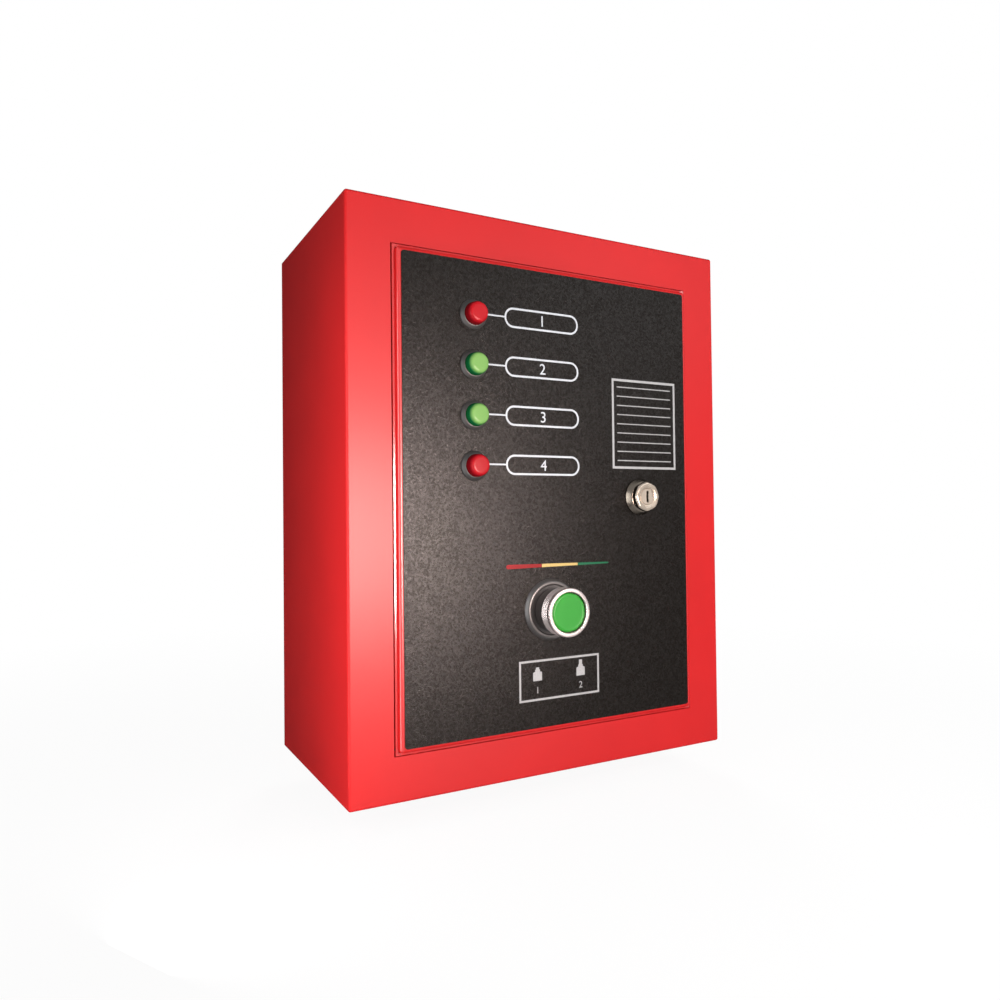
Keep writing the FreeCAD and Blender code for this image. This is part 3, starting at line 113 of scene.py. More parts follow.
def soften(corners, radii, steps=5):
    """An outline with rounded corners.

    Each corner c is cut back by its length along both sides, to a and b, and the gap is bridged by
    the arc (a(1-t)^2 + 2wc t(1-t) + b t^2) / ((1-t)^2 + 2w t(1-t) + t^2), where w is the cosine of
    half the turn at c. A corner with length 0 stays a point.
    """
    corners = np.asarray(corners, float)
    radii = np.broadcast_to(np.asarray(radii, float), len(corners))
    before = np.roll(corners, 1, axis=0) - corners
    after = np.roll(corners, -1, axis=0) - corners
    reach_before = np.linalg.norm(before, axis=1)
    reach_after = np.linalg.norm(after, axis=1)
    back = np.minimum(radii, 0.49 * np.minimum(reach_before, reach_after))[:, None]
    start = corners + before / np.maximum(reach_before, 1e-9)[:, None] * back
    end = corners + after / np.maximum(reach_after, 1e-9)[:, None] * back
    along = -np.sum(before * after, axis=1) / np.maximum(reach_before * reach_after, 1e-12)
    weight = np.sqrt((1 + along) / 2).clip(0.01, 1)[:, None, None]
    t = np.linspace(0, 1, steps)[None, :, None]
    pull = 2 * weight * t * (1 - t)
    curve = start[:, None] * (1 - t) ** 2 + corners[:, None] * pull + end[:, None] * t ** 2
    curve /= (1 - t) ** 2 + pull + t ** 2
    keep = np.ones((len(corners), steps), bool)
    keep[back[:, 0] < 1e-9, 1:] = False
    return curve[keep]


def grid_faces(rows, columns, wrap_rows, wrap_columns):
    """Four-sided faces between neighbouring points of a rows x columns grid."""
    r = np.arange(rows if wrap_rows else rows - 1)[:, None]
    c = np.arange(columns if wrap_columns else columns - 1)[None, :]
    r_next, c_next = (r + 1) % rows, (c + 1) % columns
    faces = [r * columns + c, r * columns + c_next, r_next * columns + c_next, r_next * columns + c]
    return np.stack(faces, axis=-1).reshape(-1, 4).tolist()


def turned(profile, place, segments, closed=False, wave=None):
    """A surface of revolution about the Y direction.

    A point at (radius p, depth q) of the profile goes to place + (p sin a, q, p cos a), for
    angles a round the circle. An open profile starts and ends on the axis; a closed one is a
    ring. wave(a, p, q) gives a factor on the radius where the section is not round.
    """
    profile = np.asarray(profile, float)
    angle = np.linspace(0, 2 * math.pi, segments, endpoint=False)
    radius = profile[:, 0][:, None] * np.ones(segments)
    depth = profile[:, 1][:, None] * np.ones(segments)
    if wave is not None:
        radius = radius * wave(angle[None, :], radius, depth)
    points = np.stack([radius * np.sin(angle), depth, radius * np.cos(angle)], axis=-1)
    points += np.array([place[0], 0.0, place[1]])
    return points.reshape(-1, 3), grid_faces(len(profile), segments, closed, True)


def unit(vectors):
    """The vectors, each brought to length 1."""
    return vectors / np.linalg.norm(vectors, axis=1)[:, None]


def at_depth(outline, depth):
    """The points (x, z) of an outline, all at one depth or each at its own."""
    return np.insert(np.asarray(outline, float), 1, depth, axis=1)


def slab(outline, back, front):
    """A flat plate: the outline (x, z) at the depths back and front, joined all round."""
    count = len(outline)
    ring = np.arange(count)
    after = (ring + 1) % count
    sides = np.column_stack([ring, after, after + count, ring + count]).tolist()
    points = np.concatenate([at_depth(outline, back), at_depth(outline, front)])
    return points, sides + [ring[::-1].tolist(), (ring + count).tolist()]


def stroke(path, width, back, front, closed=True):
    """A line: a rectangle from back to front in depth, carried along the path (x, z).

    At each point the line's two edges lie half a width to either side, along the mean of the
    two neighbouring sides' normals, divided by the cosine of half the turn so that corners
    keep the full width.
    """
    path = np.asarray(path, float)
    before = path - np.roll(path, 1, axis=0)
    after = np.roll(path, -1, axis=0) - path
    if not closed:
        before[0], after[-1] = after[0], before[-1]
    before, after = unit(before), unit(after)
    mean = unit(before + after)
    normal = np.column_stack([-mean[:, 1], mean[:, 0]])
    stretch = 1 / np.maximum(np.sum(mean * after, axis=1), 0.4)
    offset = normal * (width / 2 * stretch)[:, None]
    left, right = path + offset, path - offset
    section = [(left, back), (right, back), (right, front), (left, front)]
    points = np.stack([at_depth(edge, depth) for edge, depth in section], axis=1)
    faces = grid_faces(len(path), 4, closed, True)
    if not closed:
        last = 4 * (len(path) - 1)
        faces += [[0, 1, 2, 3], [last + 3, last + 2, last + 1, last]]
    return points.reshape(-1, 3), faces


def box_outline(x, z):
    """Corners of a rectangle from its (low, high) pairs."""
    return np.array([(x[0], z[0]), (x[1], z[0]), (x[1], z[1]), (x[0], z[1])])


def make_piece(name, shapes, material, body, replaces=(), smooth=True):
    """One object from several shapes, which rides a body and may replace nodes of the frame."""
    points, faces, first = [], [], 0
    for shape_points, shape_faces in shapes:
        points.append(shape_points)
        faces += [[index + first for index in face] for face in shape_faces]
        first += len(shape_points)
    mesh = bpy.data.meshes.new(name)
    mesh.from_pydata(np.concatenate(points).tolist(), [], faces)
    mesh.materials.append(material)
    finish_mesh(mesh, smooth)
    piece = bpy.data.objects.new(name, mesh)
    bpy.context.scene.collection.objects.link(piece)
    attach(piece, body)
    if replaces:
        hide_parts(*replaces)
    return piece


def finish_mesh(mesh, smooth):
    """Merges the seams, turns the normals outward and sets the shading."""
    work = bmesh.new()
    work.from_mesh(mesh)
    bmesh.ops.remove_doubles(work, verts=work.verts, dist=1e-7)
    bmesh.ops.dissolve_degenerate(work, edges=work.edges, dist=1e-8)
    bmesh.ops.recalc_face_normals(work, faces=work.faces)
    work.to_mesh(mesh)
    work.free()
    if smooth:
        mesh.shade_smooth()
        mesh.set_sharp_from_angle(angle=math.radians(38))


def numerals(marks, height, depth):
    """Plain numbers, each centred on its (text, x, z), standing on the sheet."""
    shapes = []
    for text, x, z in marks:
        letter = bpy.data.curves.new("numeral", "FONT")
        letter.body = text
        letter.size = height
        letter.extrude = depth / 2
        holder = bpy.data.objects.new("numeral", letter)
        bpy.context.scene.collection.objects.link(holder)
        bpy.context.view_layer.update()
        mesh = bpy.data.meshes.new_from_object(holder)
        flat = np.array([vertex.co for vertex in mesh.vertices])
        flat[:, :2] -= (flat[:, :2].min(axis=0) + flat[:, :2].max(axis=0)) / 2
        points = np.column_stack([flat[:, 0] + x, SHEET_FACE - flat[:, 2] - depth / 4, flat[:, 1] + z])
        shapes.append((points, [list(face.vertices) for face in mesh.polygons]))
        bpy.data.objects.remove(holder)
        bpy.data.curves.remove(letter)
        bpy.data.meshes.remove(mesh)
    return shapes


# ---- Finishes ----

class Wiring:
    """Short calls that add nodes to one node tree."""

    def __init__(self, tree):
        self.nodes = tree.nodes
        self.links = tree.links

    def feed(self, socket, value):
        """Links an output to a socket, or sets the socket to a number or colour."""
        if isinstance(value, bpy.types.NodeSocket):
            self.links.new(value, socket)
        else:
            socket.default_value = value

    def add(self, kind, inputs=None, **settings):
        """Adds a node with these settings, and feeds its inputs, given by name or number."""
        node = self.nodes.new(kind)
        for key, value in settings.items():
            setattr(node, key, value)
        for key, value in (inputs or {}).items():
            self.feed(node.inputs[key], value)
        return node

    def maths(self, operation, *values):
        return self.add("ShaderNodeMath", dict(enumerate(values)), operation=operation).outputs[0]

    def spread(self, value, start, end, low_value=0.0, high_value=1.0):
        """Value from start to end, carried to low_value to high_value, and held there."""
        numbers = (value, start, end, low_value, high_value)
        return self.add("ShaderNodeMapRange", dict(enumerate(numbers))).outputs[0]

    def seen_rays(self):
        """1 on rays from the camera, in mirrors and through glass, and 0 on all others."""
        rays = self.add("ShaderNodeLightPath").outputs
        seen = self.maths("MAXIMUM", rays["Is Camera Ray"], rays["Is Glossy Ray"])
        return self.maths("MAXIMUM", seen, rays["Is Transmission Ray"])


class Finish(Wiring):
    """A material being put together round its shader, in object coordinates."""

    def __init__(self, name, colour, **settings):
        self.material = bpy.data.materials.new(name)
        self.material.use_nodes = True
        super().__init__(self.material.node_tree)
        self.shader = self.nodes["Principled BSDF"]
        self.place = self.add("ShaderNodeTexCoord").outputs["Object"]
        self.material.diffuse_color = (*colour, 1)
        self.wire(base_color=(*colour, 1), **settings)

    def wire(self, **sockets):
        """Feeds the shader's sockets, named in words joined by underscores."""
        for key, value in sockets.items():
            self.feed(self.shader.inputs[key.replace("_", " ").title().replace("Ior", "IOR")], value)
        return self.material

    def mapped(self, **changes):
        """Object coordinates after a Scale or a Rotation."""
        return self.add("ShaderNodeMapping", {"Vector": self.place, **changes}).outputs["Vector"]

    def axis(self, letter):
        return self.add("ShaderNodeSeparateXYZ", {"Vector": self.place}).outputs[letter]

    def noise(self, scale, detail=2.0, roughness=0.5, at=None):
        inputs = {"Vector": at or self.place, "Scale": scale, "Detail": detail, "Roughness": roughness}
        return self.add("ShaderNodeTexNoise", inputs).outputs["Fac"]

    def cells(self, scale, output="Distance", at=None):
        return self.add("ShaderNodeTexVoronoi", {"Vector": at or self.place, "Scale": scale}).outputs[output]

    def ripples(self, rate):
        """A sine of the depth, at this many radians in a metre."""
        return self.maths("SINE", self.maths("MULTIPLY", self.axis("Y"), rate))

    def blend(self, factor, first, second):
        """A mix of two colours, each an output or three numbers."""
        first, second = (
            colour if isinstance(colour, bpy.types.NodeSocket) else (*colour, 1) for colour in (first, second)
        )
        return self.add("ShaderNodeMix", {0: factor, 6: first, 7: second}, data_type="RGBA").outputs[2]

    def relief(self, height, distance, strength=1.0, under=None):
        """A bump, on top of the one under it where that is given."""
        inputs = {"Strength": strength, "Distance": distance, "Height": height}
        if under is not None:
            inputs["Normal"] = under
        return self.add("ShaderNodeBump", inputs).outputs["Normal"]


def shade(colour, factor):
    return tuple(min(1.0, part * factor) for part in colour)


def powder_coat(look, name="powder_coat", bend=None):
    """Satin powder coat: a fine orange peel over a slow waviness.

    Where bend is given, the coat is glossy from that distance off the middle, on the tight bends.
    """
    finish = Finish(name, look.paint, roughness=0.5, specular_ior_level=0.0, coat_weight=0.036,
                    coat_ior=4.0, coat_roughness=0.38)
    wave = finish.noise(14)
    colour = finish.blend(finish.spread(wave, 0.3, 0.7), shade(look.paint, 0.95), shade(look.paint, 1.03))
    bumps = finish.relief(finish.noise(620), look.peel, 0.5, under=finish.relief(wave, 0.4 * MM, 0.35))
    gloss = finish.spread(finish.noise(2600, detail=1), 0.35, 0.65, 0.40, 0.36)
    if bend is not None:
        edge = (finish.maths("ABSOLUTE", finish.axis("X")), bend, bend + 0.8 * MM)
        gloss = finish.maths("MULTIPLY", gloss, finish.spread(*edge, 1.0, 0.4))
        finish.wire(coat_weight=finish.spread(*edge, 0.036, 0.16))
    return finish.wire(base_color=colour, normal=bumps, coat_normal=bumps, coat_roughness=gloss)


def printed_sheet(look):
    """Dark textured sheet: packed fine grains that sparkle, and a slow change of tone."""
    finish = Finish("front_sheet", look.sheet, roughness=0.5, specular_ior_level=0.0, coat_weight=0.031,
                    coat_ior=4.0, coat_roughness=0.29)
    grain = finish.noise(1300, roughness=0.6)
    height = finish.maths("ADD", finish.maths("MULTIPLY", finish.cells(1000), 0.35), grain)
    tone = finish.blend(finish.spread(grain, 0.3, 0.7), shade(look.sheet, 0.7), shade(look.sheet, 1.4))
    cloud = finish.spread(finish.noise(9), 0.35, 0.65, 0.0, 0.25)
    tone = finish.blend(cloud, tone, shade(look.sheet, 1.25))
    gloss = finish.spread(grain, 0.4, 0.7, 0.33, 0.22)
    sparkle = finish.spread(finish.cells(800, output="Color"), 0.1, 0.9, 0.016, 0.044)
    bumps = finish.relief(height, look.grain)
    return finish.wire(base_color=tone, normal=bumps, coat_normal=bumps, coat_roughness=gloss,
                       coat_weight=sparkle)


def ink(name, colour, specular=0.5):
    """Screen-printed ink: slightly uneven cover over the sheet's grain."""
    finish = Finish(name, colour, roughness=0.5, specular_ior_level=specular)
    cover = finish.noise(900)
    tone = finish.blend(finish.spread(cover, 0.35, 0.65), shade(colour, 0.86), colour)
    return finish.wire(base_color=tone, normal=finish.relief(cover, 0.02 * MM, 0.4))


def moulded_plastic(name, colour, roughness, texture, scale=900, **settings):
    """Moulded plastic: spark-eroded texture, and faint flow marks in tone and gloss."""
    finish = Finish(name, colour, roughness=roughness, **settings)
    flow = finish.noise(35, at=finish.mapped(Scale=(1, 1, 0.35)))
    tone = finish.blend(finish.spread(flow, 0.3, 0.7), shade(colour, 0.9), shade(colour, 1.06))
    rough = finish.spread(flow, 0.3, 0.7, roughness * 0.88, roughness * 1.14)
    bumps = finish.relief(finish.noise(scale), texture, 0.6)
    return finish.wire(base_color=tone, roughness=rough, normal=bumps)


def lens_plastic(name, colour, shaded_side_colour, node):
    """Clear-coloured lens: a face in the lens colour and sides in a darker colour, which is painted shade,
    darker still towards the foot, with the inner ribs showing through.
    """
    finish = Finish(name, colour, roughness=0.3, specular_ior_level=0.0, coat_weight=0.2, coat_roughness=0.25)
    _, face, base = round_node(node)
    depth = finish.axis("Y")
    ribs = finish.spread(finish.ripples(2400), -1, 1, 0.0, 0.35)
    deep = finish.blend(ribs, shaded_side_colour, shade(shaded_side_colour, 1.8))
    # The face keeps the lens colour and the sides take the darker colour: painted shade on the sides.
    tone = finish.blend(finish.spread(depth, face + 0.15 * MM, face + 2.4 * MM), colour, deep)
    # Painted shade: the sides darken to a tenth of their colour towards the foot on the ring.
    dark = finish.spread(depth, face + 2 * MM, base, 0.0, 0.85)
    tone = finish.blend(dark, tone, shade(shaded_side_colour, 0.1))
    return finish.wire(base_color=tone, normal=finish.relief(finish.noise(700), 0.01 * MM, 0.5))


def plated_metal(name, colour, roughness, groove, tarnish=None):
    """Bright plating with long faint ripples, over fine rings left by turning it about Y.

    Behind the depth tarnish, where it is given, the plating's colour is painted darker: painted shade on the
    parts behind the face.
    """
    finish = Finish(name, colour, metallic=1.0, roughness=roughness)
    haze = finish.noise(60, detail=3)
    rings = finish.ripples(2 * math.pi / (0.5 * MM))
    tone = finish.blend(finish.spread(haze, 0.3, 0.7), shade(colour, 0.88), colour)
    if tarnish is not None:
        # Painted shade: behind this depth the plating's colour falls to a third.
        behind = finish.spread(finish.axis("Y"), tarnish, tarnish + 0.8 * MM)
        tone = finish.blend(behind, tone, shade(colour, 0.32))
    rough = finish.spread(haze, 0.3, 0.7, roughness * 0.8, roughness * 1.35)
    bumps = finish.relief(rings, groove, under=finish.relief(haze, 0.06 * MM, 0.3))
    return finish.wire(base_color=tone, roughness=rough, normal=bumps)


def zinc_steel():
    """Passivated zinc: silver with faint straw and blue blooms, and small scuffs."""
    silver, straw, blue = (0.62, 0.62, 0.63), (0.62, 0.56, 0.40), (0.48, 0.54, 0.62)
    finish = Finish("zinc_steel", silver, metallic=1.0, roughness=0.3)
    bloom = finish.noise(85, detail=3)
    tone = finish.blend(finish.spread(bloom, 0.5, 0.75), silver, straw)
    tone = finish.blend(finish.spread(bloom, 0.45, 0.25), tone, blue)
    scuff = finish.noise(900, detail=3, roughness=0.7)
    rough = finish.spread(scuff, 0.35, 0.7, 0.2, 0.46)
    return finish.wire(base_color=tone, roughness=rough, normal=finish.relief(scuff, 0.02 * MM, 0.5))


def galvanised():
    """Hot-dip galvanised sheet gone dull: flat crystals that differ in tone and gloss."""
    grey = (0.30, 0.31, 0.325)
    finish = Finish("galvanised_sheet", grey, metallic=0.15, roughness=0.6, specular_ior_level=0.25)
    crystal = finish.cells(120, output="Color")
    tone = finish.blend(crystal, shade(grey, 0.8), shade(grey, 1.2))
    bumps = finish.relief(finish.noise(400, detail=3), 0.02 * MM, 0.4)
    return finish.wire(base_color=tone, roughness=finish.spread(crystal, 0, 1, 0.52, 0.66), normal=bumps)


def rubber():
    """Cellular rubber: dull black with open pores."""
    finish = Finish("cell_rubber", (0.018, 0.018, 0.019), roughness=0.85)
    return finish.wire(normal=finish.relief(finish.cells(1100), 0.12 * MM, 0.7))


def brass():
    """Plain brass, browned in patches."""
    bright = (0.72, 0.50, 0.20)
    finish = Finish("plain_brass", bright, metallic=1.0, roughness=0.28)
    tarnish = finish.noise(120, detail=4, roughness=0.6)
    tone = finish.blend(finish.spread(tarnish, 0.45, 0.75), bright, (0.42, 0.27, 0.12))
    return finish.wire(base_color=tone, roughness=finish.spread(tarnish, 0.3, 0.7, 0.2, 0.42))


def solder_mask():
    """Board lacquer: green mask over copper tracks that run up and across, with pale pads."""
    green, track = (0.012, 0.12, 0.045), (0.03, 0.24, 0.08)
    finish = Finish("board_lacquer", green, roughness=0.45, specular_ior_level=0.25)
    routes = finish.add("ShaderNodeTexBrick", {
        "Vector": finish.mapped(Rotation=(math.radians(90), 0, 0)), "Scale": 60, "Mortar Size": 0.06,
        "Brick Width": 0.9, "Row Height": 0.3,
    }).outputs["Fac"]
    pads = finish.cells(160, at=finish.mapped(Scale=(1, 0, 1)))
    tone = finish.blend(routes, green, track)
    tone = finish.blend(finish.spread(pads, 0.12, 0.10), tone, (0.62, 0.60, 0.52))
    return finish.wire(base_color=tone, normal=finish.relief(routes, 0.03 * MM, 0.6))


def laminations():
    """Varnished iron laminations, stacked along Y, with an uneven amber varnish."""
    iron = (0.075, 0.062, 0.052)
    finish = Finish("varnished_laminations", iron, metallic=0.2, roughness=0.5, specular_ior_level=0.25)
    varnish = finish.spread(finish.noise(140, detail=3), 0.3, 0.7)
    tone = finish.blend(varnish, iron, (0.15, 0.09, 0.045))
    return finish.wire(base_color=tone, normal=finish.relief(finish.ripples(12500), 0.05 * MM, 0.7))


def dress(material, *names):
    """Gives the frame's own pieces a finish."""
    for name in names:
        piece = NODES[name]
        if not piece.material_slots:
            piece.data.materials.append(material)
        for slot in piece.material_slots:
            slot.material = material


def dress_plastic(name, colour, *names):
    """Gives pieces inside the box the duller moulded plastic, in one colour."""
    plastic = moulded_plastic(name, colour, roughness=0.52, texture=0.02 * MM, scale=700,
                              specular_ior_level=0.22)
    dress(plastic, *names)


# ---- Sizes and colours a user may change ----

def colour_setting(name, description, default):
    return FloatVectorProperty(name=name, description=description, default=default, size=3, subtype="COLOR",
                               min=0.0, max=1.0)


def number_setting(name, description, default, least=0.0, most=200.0, **settings):
    return FloatProperty(name=name, description=description, default=default, min=least, max=most, **settings)


def length_setting(name, description, default, least, most):
    return number_setting(name, description, default, least, most, unit="LENGTH", precision=5)


class CaseLook(bpy.types.PropertyGroup):
    paint: colour_setting("Paint", "Colour of the powder coat", (0.45, 0.010, 0.011))
    peel: length_setting("Orange peel", "Height of the coat's orange peel", 0.05 * MM, 0.0, 0.5 * MM)


class SheetLook(bpy.types.PropertyGroup):
    sheet: colour_setting("Front sheet", "Colour of the printed sheet", (0.0040, 0.0026, 0.0018))
    line_ink: colour_setting("Line ink", "Colour of the printed lines", (0.46, 0.47, 0.50))
    frame_ink: colour_setting("Panel ink", "Colour of the printed panel borders", (0.31, 0.30, 0.30))
    grain: length_setting("Grain", "Height of the sheet's grain", 0.2 * MM, 0.0, 1 * MM)
    line: length_setting("Line width", "Width of the lines round the lamps' tags", 1.3 * MM, 0.2 * MM, 4 * MM)
    print_height: length_setting("Ink height", "Thickness of the ink", 0.04 * MM, 0.01 * MM, 0.4 * MM)


class LampLook(bpy.types.PropertyGroup):
    red: colour_setting("Red lens", "Colour of the red lenses", (0.35, 0.005, 0.009))
    green: colour_setting("Green lens", "Colour of the green lenses", (0.155, 0.30, 0.075))
    # The side colours are painted shade: darker colours for the sides of the same lens plastic.
    red_side: colour_setting("Red side", "Colour of the red lenses' sides", (0.17, 0.003, 0.006))
    green_side: colour_setting("Green side", "Colour of the green lenses' sides", (0.004, 0.09, 0.025))
    segments: IntProperty(name="Segments", description="Facets round each lamp", default=72, min=16, max=256)


class ButtonLook(bpy.types.PropertyGroup):
    cap: colour_setting("Cap", "Colour of the push button's cap", (0.024, 0.235, 0.024))
    chrome: colour_setting("Chrome", "Colour of the bright plating", (0.58, 0.51, 0.50))
    edge: length_setting("Rim edge", "How much the bezel's edges are eased", 2.4 * MM, 0.5 * MM, 4 * MM)


class LockLook(bpy.types.PropertyGroup):
    metal: colour_setting("Lock metal", "Colour of the lock's plating", (0.42, 0.36, 0.30))
    facets: IntProperty(name="Facets", description="Flats round the lock's head", default=8, min=3, max=24)
    flatness: number_setting("Flatness", "How flat the facets are, from round to sharp", 0.55, most=1.0)


class StageLook(bpy.types.PropertyGroup):
    floor: colour_setting("Floor", "Colour of the floor", (0.86, 0.86, 0.86))
    key_power: number_setting("Key light", "Power of the key light in watts", 0.72)
    front_power: number_setting("Front light", "Power of the front light in watts", 6.3)
    sheen_power: number_setting("Sheen light", "Watts of the light that only glossy surfaces show", 8.8)
    sheen_colour: colour_setting("Sheen colour", "Colour of the sheen light", (1.0, 0.80, 0.73))
    fill_power: number_setting("Fill light", "Power of the fill light in watts", 2.4)
    back_power: number_setting("Back light", "Power of the light behind the box in watts", 12.0)
    sky: number_setting("Sky", "Brightness of the surroundings", 0.08, most=2.0)
    focal_length: number_setting("Lens", "The camera's focal length in millimetres", 28.3, least=10.0)


# ---- Operators ----

class TRANSFER_OT_case(bpy.types.Operator):
    """Powder-coat the case and its door, put a bead round the door, and finish the seals"""
    bl_idname = "transfer_switch.case"
    bl_label = "Case and Door"

    def execute(self, context):
        look = context.scene.switch_case
        bend = high("door_pan")[0] - 2.4 * MM
        door_coat = powder_coat(look, "door_powder_coat", bend)
        dress(powder_coat(look), "enclosure_shell", "door_frame", "case_floor", "back_panel", "hinge_pins")
        dress(door_coat, "door_pan")
        dress(rubber(), "door_seal", "gland_seals")
        make_piece("door_bead", [self.bead()], door_coat, "door", smooth=False)
        return {"FINISHED"}

    def bead(self):
        """A bead over the door's edge that stands just proud of the case's border."""
        width, outset, proud, depth = 1.8 * MM, 0.8 * MM, 0.6 * MM, 1.1 * MM
        lower, upper = low("door_pan") - outset, high("door_pan") + outset
        front = BORDER_FACE - proud
        return stroke(box_outline((lower[0], upper[0]), (lower[2], upper[2])), width, front + depth, front)


class TRANSFER_OT_front_sheet(bpy.types.Operator):
    """Grain the front sheet and print its lines, borders, numbers and stripe"""
    bl_idname = "transfer_switch.front_sheet"
    bl_label = "Front Sheet"

    def execute(self, context):
        look = context.scene.switch_sheet
        dress(printed_sheet(look), "front_overlay")
        back, front = SHEET_FACE + 0.02 * MM, SHEET_FACE - look.print_height
        self.print_lamp_tags(look, back, front)
        self.print_panels(look, back, front)
        self.print_stripe(back, front)
        return {"FINISHED"}

    def print_piece(self, name, shapes, material):
        """One piece of print, which rides on the door."""
        make_piece(name, shapes, material, "door", smooth=False)

    def print_lamp_tags(self, look, back, front):
        """A leader line from each lamp to a rounded tag with the lamp's number in it."""
        left, right, half, corner = -40.6 * MM, 17.3 * MM, 6.2 * MM, 6.1 * MM
        lift, reach = 1.3 * MM, 10.3 * MM
        lines, marks = [], []
        for number, lens in enumerate(LENSES, 1):
            x, z = middle(lens) + (reach, lift)
            tag = soften(box_outline((left, right), (z - half, z + half)), corner, steps=14)
            lines.append(stroke(tag, look.line, back, front))
            leader = [(x, z), (left - look.line / 2, z)]
            lines.append(stroke(leader, 0.8 * look.line, back, front, closed=False))
            marks.append((str(number), (left + right) / 2, z))
        white = ink("line_ink", look.line_ink)
        self.print_piece("lamp_tag_lines", lines, white)
        self.print_piece("lamp_numbers", numerals(marks, 10.5 * MM, look.print_height), white)

    def print_panels(self, look, back, front):
        """The bordered note panel with its rules, and the panel of the button's two positions."""
        note = box_outline((47.9 * MM, 105.1 * MM), (22.4 * MM, 86.1 * MM))
        plate = box_outline((-32.2 * MM, 31.8 * MM), (-136.8 * MM, -110.6 * MM))
        shapes = [stroke(note, 1.7 * MM, back, front), stroke(plate, 1.4 * MM, back, front)]
        left, right = 51.5 * MM, 101.5 * MM
        for z in np.linspace(27.5 * MM, 81 * MM, 9):
            shapes.append(stroke([(left, z), (right, z)], 0.7 * MM, back, front, closed=False))
        marks = []
        for text, x, proud in (("1", -18.5 * MM, 1.4 * MM), ("2", 16.8 * MM, 3.4 * MM)):
            shapes.append(slab(plunger_outline(x, -124 * MM, proud), back, front))
            marks.append((text, x, -130.3 * MM))
        grey = ink("panel_ink", look.frame_ink)
        self.print_piece("panel_borders", shapes, grey)
        self.print_piece("position_numbers", numerals(marks, 6.4 * MM, look.print_height), grey)

    def print_stripe(self, back, front):
        """A stripe of three colours, rounded at both ends, that thins from left to right."""
        level, reach = -46 * MM, 42 * MM
        for name, colour, start, end in (
            ("stripe_red", (0.26, 0.003, 0.005), -reach, -14.2 * MM),
            ("stripe_yellow", (0.56, 0.38, 0.13), -14 * MM, 15.4 * MM),
            ("stripe_green", (0.006, 0.12, 0.05), 15.6 * MM, reach),
        ):
            ends = np.array([start, end])
            half = 1.45 * MM - 0.011 * (ends + reach)
            below, above = np.column_stack([ends, level - half]), np.column_stack([ends, level + half])
            left, right = half * (np.abs(ends) == reach)
            outline = soften(np.concatenate([below, above[::-1]]), [left, right, right, left])
            self.print_piece(name, [slab(outline, back, front)], ink(name, colour, specular=0.1))


def plunger_outline(x, z, proud):
    """A push button seen from the side: a body 7 mm wide and a narrower plunger that stands proud."""
    top = 7.6 + proud / MM
    right = [(3.5, 0), (3.5, 5.4), (3.0, 6.0), (1.9, 6.0), (1.9, 7.6), (1.3, 7.6), (1.3, top)]
    left = [(-half, up) for half, up in reversed(right)]
    return np.array(right + left) * MM + (x, z)


class TRANSFER_OT_lamps(bpy.types.Operator):
    """Turn the four indicator lamps: ring, barrel and lens"""
    bl_idname = "transfer_switch.lamps"
    bl_label = "Indicator Lamps"

    def execute(self, context):
        look = context.scene.switch_lamps
        red = lens_plastic("red_lens", look.red, look.red_side, LENSES[0])
        green = lens_plastic("green_lens", look.green, look.green_side, LENSES[1])
        for number, node, material in zip(range(1, 5), LENSES, (red, green, green, red)):
            lens = turned(self.lens(node), middle(node), look.segments)
            make_piece(f"lens_{number}", [lens], material, "door", replaces=(node,))
        shapes = [turned(self.holder(node), middle(node), look.segments) for node in LENSES]
        for node in LENSES:
            shapes += self.tags(node)
        black = moulded_plastic("lamp_black", (0.012, 0.010, 0.0095), roughness=0.5, texture=0.006 * MM)
        make_piece("lamp_holders", shapes, black, "door", replaces=("lamp_bodies",))
        dress(zinc_steel(), "lamp_nuts")
        return {"FINISHED"}

    def lens(self, node):
        """A hollow cap with a flat face, rounded over into sides that widen to its foot on the ring."""
        radius, face, base = round_node(node)
        foot, rim, inner, wall = SHEET_FACE - 3.1 * MM, radius - 1.3 * MM, radius - 1.6 * MM, 1.3 * MM
        profile = [
            (0, face + 0.05 * MM), (rim - 0.7 * MM, face), (rim + 0.5 * MM, face + 0.6 * MM),
            (radius, face + 2 * MM), (radius + 0.6 * MM, foot), (radius, foot), (radius, base),
            (inner, base), (inner, face + wall), (0, face + wall),
        ]
        return soften(profile, np.array([0, 0.6, 0.6, 0.7, 0.1, 0, 0, 0, 0.6, 0]) * MM)

    def holder(self, node):
        """A domed ring in front of the door and a threaded barrel behind it, as one profile."""
        lens, _, seat = round_node(node)
        ring, _, tags = round_node("lamp_bodies")
        lens += 0.05 * MM
        top, end = SHEET_FACE - 3 * MM, tags - 7 * MM
        root, crest, pitch = 5.55 * MM, 5.9 * MM, 1.0 * MM
        roots = np.arange(SHEET_FACE + 2.2 * MM, end - 1.5 * MM, pitch)
        thread = [(radius, y) for start in roots for radius, y in ((root, start), (crest, start + pitch / 2))]
        front = soften(
            [(0, seat), (lens, seat), (lens, top), (ring - 1.9 * MM, top + 0.2 * MM),
             (ring, SHEET_FACE - 0.8 * MM), (ring, SHEET_FACE), (crest, SHEET_FACE),
             (crest, SHEET_FACE + 2 * MM)],
            np.array([0, 0.2, 0.2, 1.2, 0.6, 0.1, 0.1, 0]) * MM,
        )
        return np.concatenate([front, thread, [(root, end - 1 * MM), (5.0 * MM, end), (0, end)]])

    def tags(self, node):
        """Two solder tags at the back of one lamp."""
        thick, wide, length = 0.8 * MM, 3 * MM, 7.2 * MM
        x, z = middle(node)
        end = high("lamp_bodies")[1]
        for left in (x - 3 * MM - thick / 2, x + 3 * MM - thick / 2):
            section = box_outline((left, left + thick), (z - wide / 2, z + wide / 2))
            yield slab(section, end, end - length)


